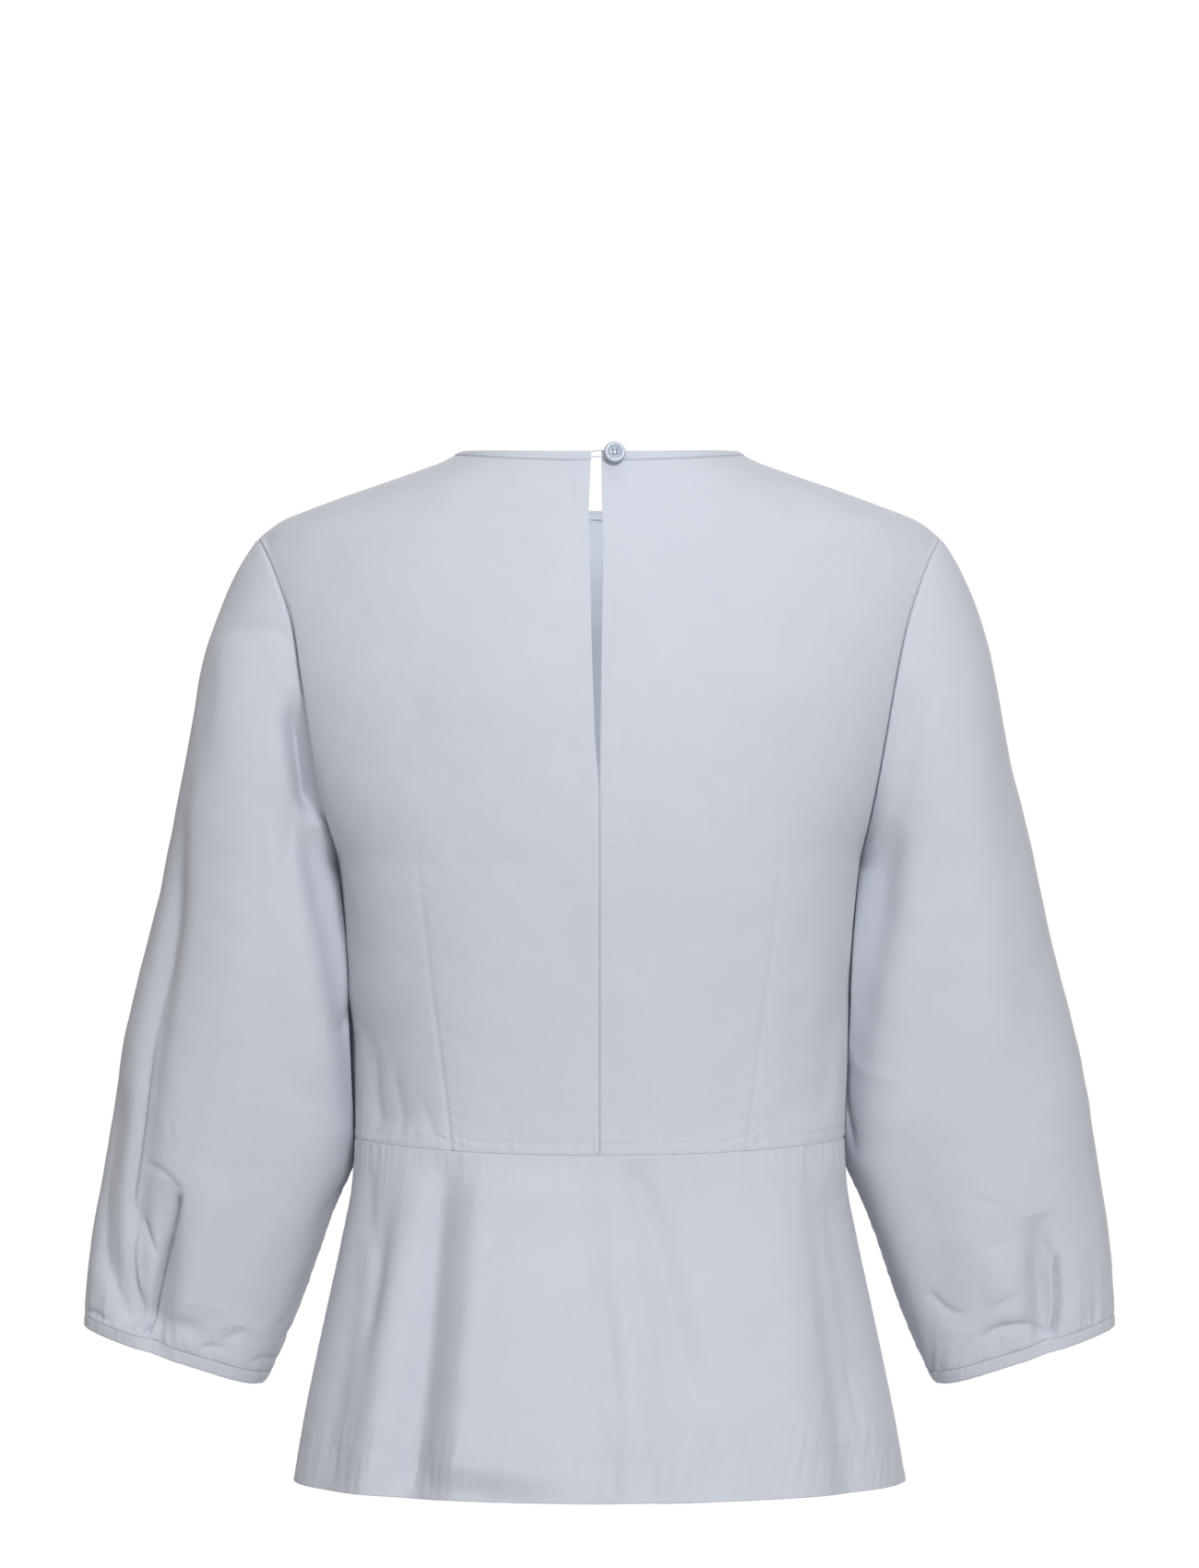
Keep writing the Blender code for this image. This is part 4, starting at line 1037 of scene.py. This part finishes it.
POPLIN_LIGHT = (0.660, 0.692, 0.754, 1)
POPLIN_DEEP = (0.617, 0.652, 0.722, 1)
THREAD_LIGHT = (0.66, 0.70, 0.77, 1)
THREAD_DEEP = (0.50, 0.55, 0.63, 1)
PLASTIC_LIGHT = (0.400, 0.450, 0.530, 1)
PLASTIC_DEEP = (0.290, 0.340, 0.420, 1)
FLOOR_LIGHT = (0.84, 0.84, 0.84, 1)
FLOOR_DEEP = (0.80, 0.80, 0.80, 1)
ROOM_COLOUR = (1.0, 0.97, 0.93, 1)
ROOM_STRENGTH = 0.34
WHITE = (1.0, 1.0, 1.0)
WARP_PITCH = 0.00030
WEFT_PITCH = 0.00042


def poplin_material():
    """Cotton poplin: a plain weave of uneven yarns, faintly mottled, that lets some light through."""
    graph = Graph("poplin")
    cloth = graph.node("ShaderNodeUVMap", settings={"uv_map": "cloth"})
    u = graph.node("ShaderNodeSeparateXYZ", 0, _0=cloth)
    v = graph.node("ShaderNodeSeparateXYZ", 1, _0=cloth)
    warp = graph.math("SINE", graph.math("MULTIPLY", u, math.pi / WARP_PITCH))
    weft = graph.math("SINE", graph.math("MULTIPLY", v, math.pi / WEFT_PITCH))
    weave = graph.math("MULTIPLY", warp, weft)
    yarns = []
    for across, down in ((1600.0, 26.0), (26.0, 1300.0)):
        x, y = graph.math("MULTIPLY", u, across), graph.math("MULTIPLY", v, down)
        place = graph.node("ShaderNodeCombineXYZ", X=x, Y=y)
        yarns.append(graph.node("ShaderNodeTexNoise", Vector=place, Scale=1.0, Detail=1.0))
    slub = graph.math("ADD", yarns[0], yarns[1])
    place = graph.node("ShaderNodeTexCoord", output=3)
    mottle = graph.node("ShaderNodeTexNoise", Vector=place, Scale=34.0, Detail=3.0, Roughness=0.55)
    shade = graph.math("MULTIPLY_ADD", slub, 0.55, graph.math("MULTIPLY", mottle, 0.9))
    shade = graph.math("SUBTRACT", shade, 0.5)
    colour = graph.mix(shade, POPLIN_DEEP, POPLIN_LIGHT)
    crinkle = graph.node("ShaderNodeTexNoise", Vector=place, Scale=150.0, Detail=2.0, Roughness=0.5)
    fine = graph.node("ShaderNodeBump", Strength=0.35, Distance=0.00006, Height=weave)
    yarn = graph.node("ShaderNodeBump", Strength=0.30, Distance=0.00008, Height=slub, Normal=fine)
    bumped = graph.node("ShaderNodeBump", Strength=0.30, Distance=0.0006, Height=crinkle, Normal=yarn)
    roughness = graph.math("MULTIPLY_ADD", mottle, 0.18, 0.74)
    graph.shade(Base_Color=colour, Normal=bumped, Roughness=roughness, Specular_IOR_Level=0.28)
    graph.shade(Sheen_Weight=0.25, Sheen_Roughness=0.45, Sheen_Tint=(1.0, 0.94, 0.86, 1))
    through = graph.node("ShaderNodeBsdfTranslucent", Color=colour, Normal=bumped)
    mixed = graph.node("ShaderNodeMixShader", _0=0.30, _1=graph.shader.outputs[0], _2=through)
    graph.put(graph.output, "Surface", mixed)
    return graph.material


def thread_material():
    """Spun thread: fine slanted plies in the cloth's own blue."""
    graph = Graph("thread")
    place = graph.node("ShaderNodeTexCoord", output=3)
    plies = graph.node("ShaderNodeTexWave", output=1, Vector=place, Scale=420.0, Distortion=2.0, Detail=1.0)
    bumped = graph.node("ShaderNodeBump", Strength=0.5, Distance=0.00005, Height=plies)
    graph.shade(Base_Color=graph.mix(plies, THREAD_DEEP, THREAD_LIGHT), Normal=bumped)
    graph.shade(Roughness=0.55, Sheen_Weight=0.2)
    return graph.material


def button_material():
    """Moulded blue-grey plastic with a faint grain and a soft polish."""
    graph = Graph("button_plastic")
    place = graph.node("ShaderNodeTexCoord", output=3)
    swirl = graph.node("ShaderNodeTexNoise", Vector=place, Scale=260.0, Detail=3.0, Distortion=1.2)
    roughness = graph.math("MULTIPLY_ADD", swirl, 0.15, 0.24)
    graph.shade(Base_Color=graph.mix(swirl, PLASTIC_DEEP, PLASTIC_LIGHT), Roughness=roughness)
    graph.shade(Coat_Weight=0.25, Coat_Roughness=0.12)
    return graph.material


# Button, shank and loop, from the part's source
BUTTON_RADIUS = 0.0061
BUTTON_THICKNESS = 0.0024
BUTTON_LIFT = 0.0026
BUTTON_X = 0.0083
BUTTON_BELOW_EDGE = 0.0018
BUTTON_PROUD = 0.0003
HOLE_RADIUS = 0.0007
HOLE_OFFSET = 0.00115
LOOP_RADIUS = 0.00045
LOOP_LIFT = 0.0012
LOOP_HALF_WIDTH = 0.0017
SHANK_END_RADIUS = 0.0013
SEAM_GAP = 0.0003
STEP = 0.0001
DISH_DEPTH = 0.0008
BAR_RADIUS = 0.00018
BAR_SHIFT = 0.00016
THREAD_BAR = (
    # share of the way from the middle to a hole, height above the dish
    (-1.0, -0.0012),
    (-0.9, 0.0001),
    (-0.4, 0.0003),
    (0.4, 0.0003),
    (0.9, 0.0001),
    (1.0, -0.0012),
)


def band_seat():
    """The button's place on the right neck band, with X across the cloth, Y up it and Z out of it."""

    def on_back(x, z):
        return Vector(body_points(np.array(x), np.array(z), "back"))

    z = float(row_centre["back"](0.0)) - BUTTON_BELOW_EDGE
    across = on_back(BUTTON_X + STEP, z) - on_back(BUTTON_X - STEP, z)
    up = on_back(BUTTON_X, z + STEP) - on_back(BUTTON_X, z - STEP)
    out = across.cross(up).normalized()
    across.normalize()
    turn = Matrix((across, out.cross(across), out)).transposed().to_4x4()
    return Matrix.Translation(on_back(BUTTON_X, z) + out * BUTTON_PROUD) @ turn


def turned(name, outline, steps, seat):
    """A solid turned about Z from an outline of radius and height, on the seat."""
    turns = [math.tau * i / steps for i in range(steps)]
    vertices = []
    for radius, z in outline:
        vertices += [(radius * math.cos(turn), radius * math.sin(turn), z) for turn in turns]
    faces = [face[::-1] for face in tube_faces(len(outline), steps)]
    piece = linked(name, vertices, faces, seat)
    piece.data.set_sharp_from_angle(angle=math.radians(45))
    return piece


def tube(name, route, radius, seat, sides=10, twist=0.0, ply=0.0):
    """A closed tube along a route of points, with a twisted two-ply surface where ply is above zero."""
    route = np.array(route, float)
    along = unit(np.gradient(route, axis=0))
    vertices = []
    out = np.array((0.0, 0.0, 1.0))
    for place, ahead, at in zip(route, along, lengths(route, 0)):
        side = unit(np.cross(ahead, out))
        up = np.cross(side, ahead)
        for i in range(sides):
            turn = math.tau * i / sides
            bulge = 1 + ply * abs(math.sin(turn + at * twist))
            vertices.append(place + (side * math.cos(turn) + up * math.sin(turn)) * radius * bulge)
    return linked(name, vertices, tube_faces(len(route), sides), seat)


def button(seat, plastic, thread):
    """The button with its rim, dish and four holes, its thread bars, its shank and its loop."""
    high = BUTTON_LIFT + BUTTON_THICKNESS
    low = BUTTON_LIFT
    outline = (
        # radius, height
        (0.0005, high - DISH_DEPTH),
        (0.0028, high - DISH_DEPTH),
        (0.0034, high - 0.0006),
        (0.0039, high - 0.00025),
        (0.0044, high - 0.00005),
        (0.0049, high),
        (0.0054, high - 0.0001),
        (0.0058, high - 0.0004),
        (BUTTON_RADIUS, high - 0.0010),
        (0.0060, high - 0.0014),
        (0.0055, low + 0.0004),
        (0.0046, low + 0.0001),
        (0.0040, low),
        (0.0005, low),
    )
    disc = turned("fine_button", outline, 64, seat)
    cutters = []
    for i in range(4):
        angle = math.radians(45) + math.tau * i / 4
        place = Matrix.Translation((HOLE_OFFSET * math.cos(angle), HOLE_OFFSET * math.sin(angle), 0))
        ends = ((HOLE_RADIUS, high + 0.001), (HOLE_RADIUS, low - 0.001))
        cutter = turned(f"hole_{i}", ends, 20, seat @ place)
        hole = disc.modifiers.new(cutter.name, "BOOLEAN")
        hole.object = cutter
        cutters.append(cutter)
    bpy.context.view_layer.objects.active = disc
    for modifier in list(disc.modifiers):
        bpy.ops.object.modifier_apply(modifier=modifier.name)
    for cutter in cutters:
        bpy.data.objects.remove(cutter)
    dress(disc, plastic, "button", "button")

    offset = HOLE_OFFSET * math.cos(math.radians(45))
    for i, y in enumerate((-offset, offset)):
        for j, shift in enumerate((-BAR_SHIFT, BAR_SHIFT)):
            route = [(offset * share, y + shift, high - DISH_DEPTH + lift) for share, lift in THREAD_BAR]
            bar = tube(f"button_thread_{i}{j}", route, BAR_RADIUS, seat)
            dress(bar, thread, "thread")

    top, foot = BUTTON_LIFT - SEAM_GAP, SEAM_GAP
    wound = [(SHANK_END_RADIUS * 0.3, top)]
    for i in range(13):
        share = i / 12
        waist = 0.0010 + 0.0003 * abs(2 * share - 1) ** 1.5
        wound.append((waist + (0.00008 if i % 2 else 0.0), top + (foot - top) * share))
    wound.append((SHANK_END_RADIUS * 0.3, foot))
    shank = turned("fine_button_shank", wound, 24, seat)
    dress(shank, thread, "thread", "button_shank")

    start = SEAM_GAP - BUTTON_X - 0.0045
    bend_radius = SHANK_END_RADIUS + SEAM_GAP + LOOP_RADIUS
    lift = curves(
        "along lift",
        (start, -0.0006),
        (start + 0.0012, -0.0004),
        (start + 0.0028, 0.0003),
        (start + 0.0042, LOOP_LIFT - 0.0002),
        (start + 0.0056, LOOP_LIFT),
        (0.0, LOOP_LIFT),
    )["lift"]
    strand = [(x, LOOP_HALF_WIDTH, float(lift(x))) for x in np.linspace(start, start + 0.0100, 34)]
    bend = [
        (bend_radius * math.sin(turn), bend_radius * math.cos(turn), LOOP_LIFT)
        for turn in np.linspace(0, math.pi, 24)
    ]
    route = strand + bend + [(x, -y, z) for x, y, z in reversed(strand)]
    loop = tube("fine_button_loop", route, LOOP_RADIUS * 0.88, seat, 12, math.tau / 0.0022, 0.2)
    dress(loop, thread, "thread", "button_loop")


def light(name, place, target, size, power, colour):
    """A soft square lamp that shines from a place towards a target."""
    lamp = bpy.data.lights.new(name, "AREA")
    lamp.shape = "SQUARE"
    lamp.size = size
    lamp.energy = power
    lamp.color = colour
    holder = bpy.data.objects.new(name, lamp)
    holder.location = place
    holder.rotation_euler = (Vector(target) - Vector(place)).to_track_quat("-Z", "Y").to_euler()
    bpy.context.scene.collection.objects.link(holder)


CHEST = (0.0, 0.0, -0.3)
LAMPS = (
    # name, place, target, size, power, colour
    ("key", (0.8, -3.05, 1.4), CHEST, 0.8, 95, (0.98, 0.99, 1.0)),
    ("fill", (-2.6, -2.2, 0.2), CHEST, 2.2, 12, (1.0, 0.99, 0.97)),
    ("top", (0.1, -0.3, 2.3), CHEST, 1.6, 16, WHITE),
    ("behind", (0.3, 2.6, 0.5), CHEST, 2.2, 58, WHITE),
    ("inside", (0.0, -0.03, -0.16), (0.0, 0.3, -0.16), 0.2, 0.16, WHITE),
)


def studio():
    """A pale floor, a white backdrop all round, soft lamps and the photograph's camera."""
    scene = bpy.context.scene
    pale = Graph("floor")
    place = pale.node("ShaderNodeTexCoord", output=3)
    grain = pale.node("ShaderNodeTexNoise", Vector=place, Scale=6.0, Detail=3.0)
    pale.shade(Base_Color=pale.mix(grain, FLOOR_DEEP, FLOOR_LIGHT), Roughness=0.8)
    bpy.ops.mesh.primitive_circle_add(vertices=96, radius=5.0, fill_type="NGON", location=(0, 0, -1.55))
    floor = bpy.context.object
    floor.name = "floor"
    floor.data.materials.append(pale.material)

    white = Graph("backdrop")
    white.shade(Base_Color=(0, 0, 0, 1), Emission_Color=(1, 1, 1, 1), Emission_Strength=1.0)
    bpy.ops.mesh.primitive_uv_sphere_add(segments=48, ring_count=24, radius=14.0, location=(0, 0, -0.2))
    backdrop = bpy.context.object
    backdrop.name = "backdrop"
    backdrop.data.materials.append(white.material)
    for ray in ("diffuse", "glossy", "transmission", "shadow", "volume_scatter"):
        setattr(backdrop, "visible_" + ray, False)

    world = bpy.data.worlds.new("studio")
    world.use_nodes = True
    background = world.node_tree.nodes["Background"]
    background.inputs["Color"].default_value = ROOM_COLOUR
    background.inputs["Strength"].default_value = ROOM_STRENGTH
    scene.world = world

    for name, place, target, size, power, colour in LAMPS:
        light(name, place, target, size, power, colour)
    bpy.data.objects["inside"].visible_camera = False
    scene.view_settings.view_transform = "Standard"

    camera = bpy.data.cameras.new("camera")
    camera.sensor_width = SENSOR
    camera.lens = SENSOR * CAMERA_DISTANCE / (PICTURE_HEIGHT * PIXEL)
    camera.clip_start, camera.clip_end = 0.1, 60
    holder = bpy.data.objects.new("camera", camera)
    holder.location = (0, -CAMERA_DISTANCE, CAMERA_Z)
    holder.rotation_euler = (math.pi / 2, 0, 0)
    scene.collection.objects.link(holder)
    scene.camera = holder


poplin = poplin_material()
thread = thread_material()
plastic = button_material()

waist_lines, neck_lines = [], []
for name, face, half, columns, waist_steps, seed in (
    ("back_left", "back", "left", (72, 60), 84, 110),
    ("back_right", "back", "right", (72, 60), 84, 120),
    ("front", "front", "both", (30, 26), 50, 130),
):
    piece, stitch_line = bodice(name, face, half, *columns, waist_steps, seed)
    dress(piece, poplin, "poplin", name)
    waist_lines.append(stitch_line)
    band_name = "neck_band_" + name.replace("back_", "")
    band, stitch_line = neck_band(band_name, face, half, *columns)
    dress(band, poplin, "poplin", band_name)
    neck_lines.append(stitch_line)

hem_lines = []
for face, columns, rows, seed in (("back", 320, 64, 310), ("front", 150, 50, 320)):
    piece, stitch_line = peplum(face, columns, rows, seed)
    dress(piece, poplin, "poplin", "peplum_" + face)
    hem_lines.append(stitch_line)

cuff_lines = []
for side, seed in (("left", 510), ("right", 520)):
    piece = sleeve(side, seed)
    dress(piece, poplin, "poplin", "sleeve_" + side)
    piece, stitch_line = cuff(side)
    dress(piece, poplin, "poplin", "cuff_" + side)
    cuff_lines.append(stitch_line)

stitches("stitches_neck", neck_lines, thread)
stitches("stitches_waist", waist_lines, thread)
stitches("stitches_hem", hem_lines, thread)
stitches("stitches_cuffs", cuff_lines, thread)
button(band_seat(), plastic, thread)
studio()
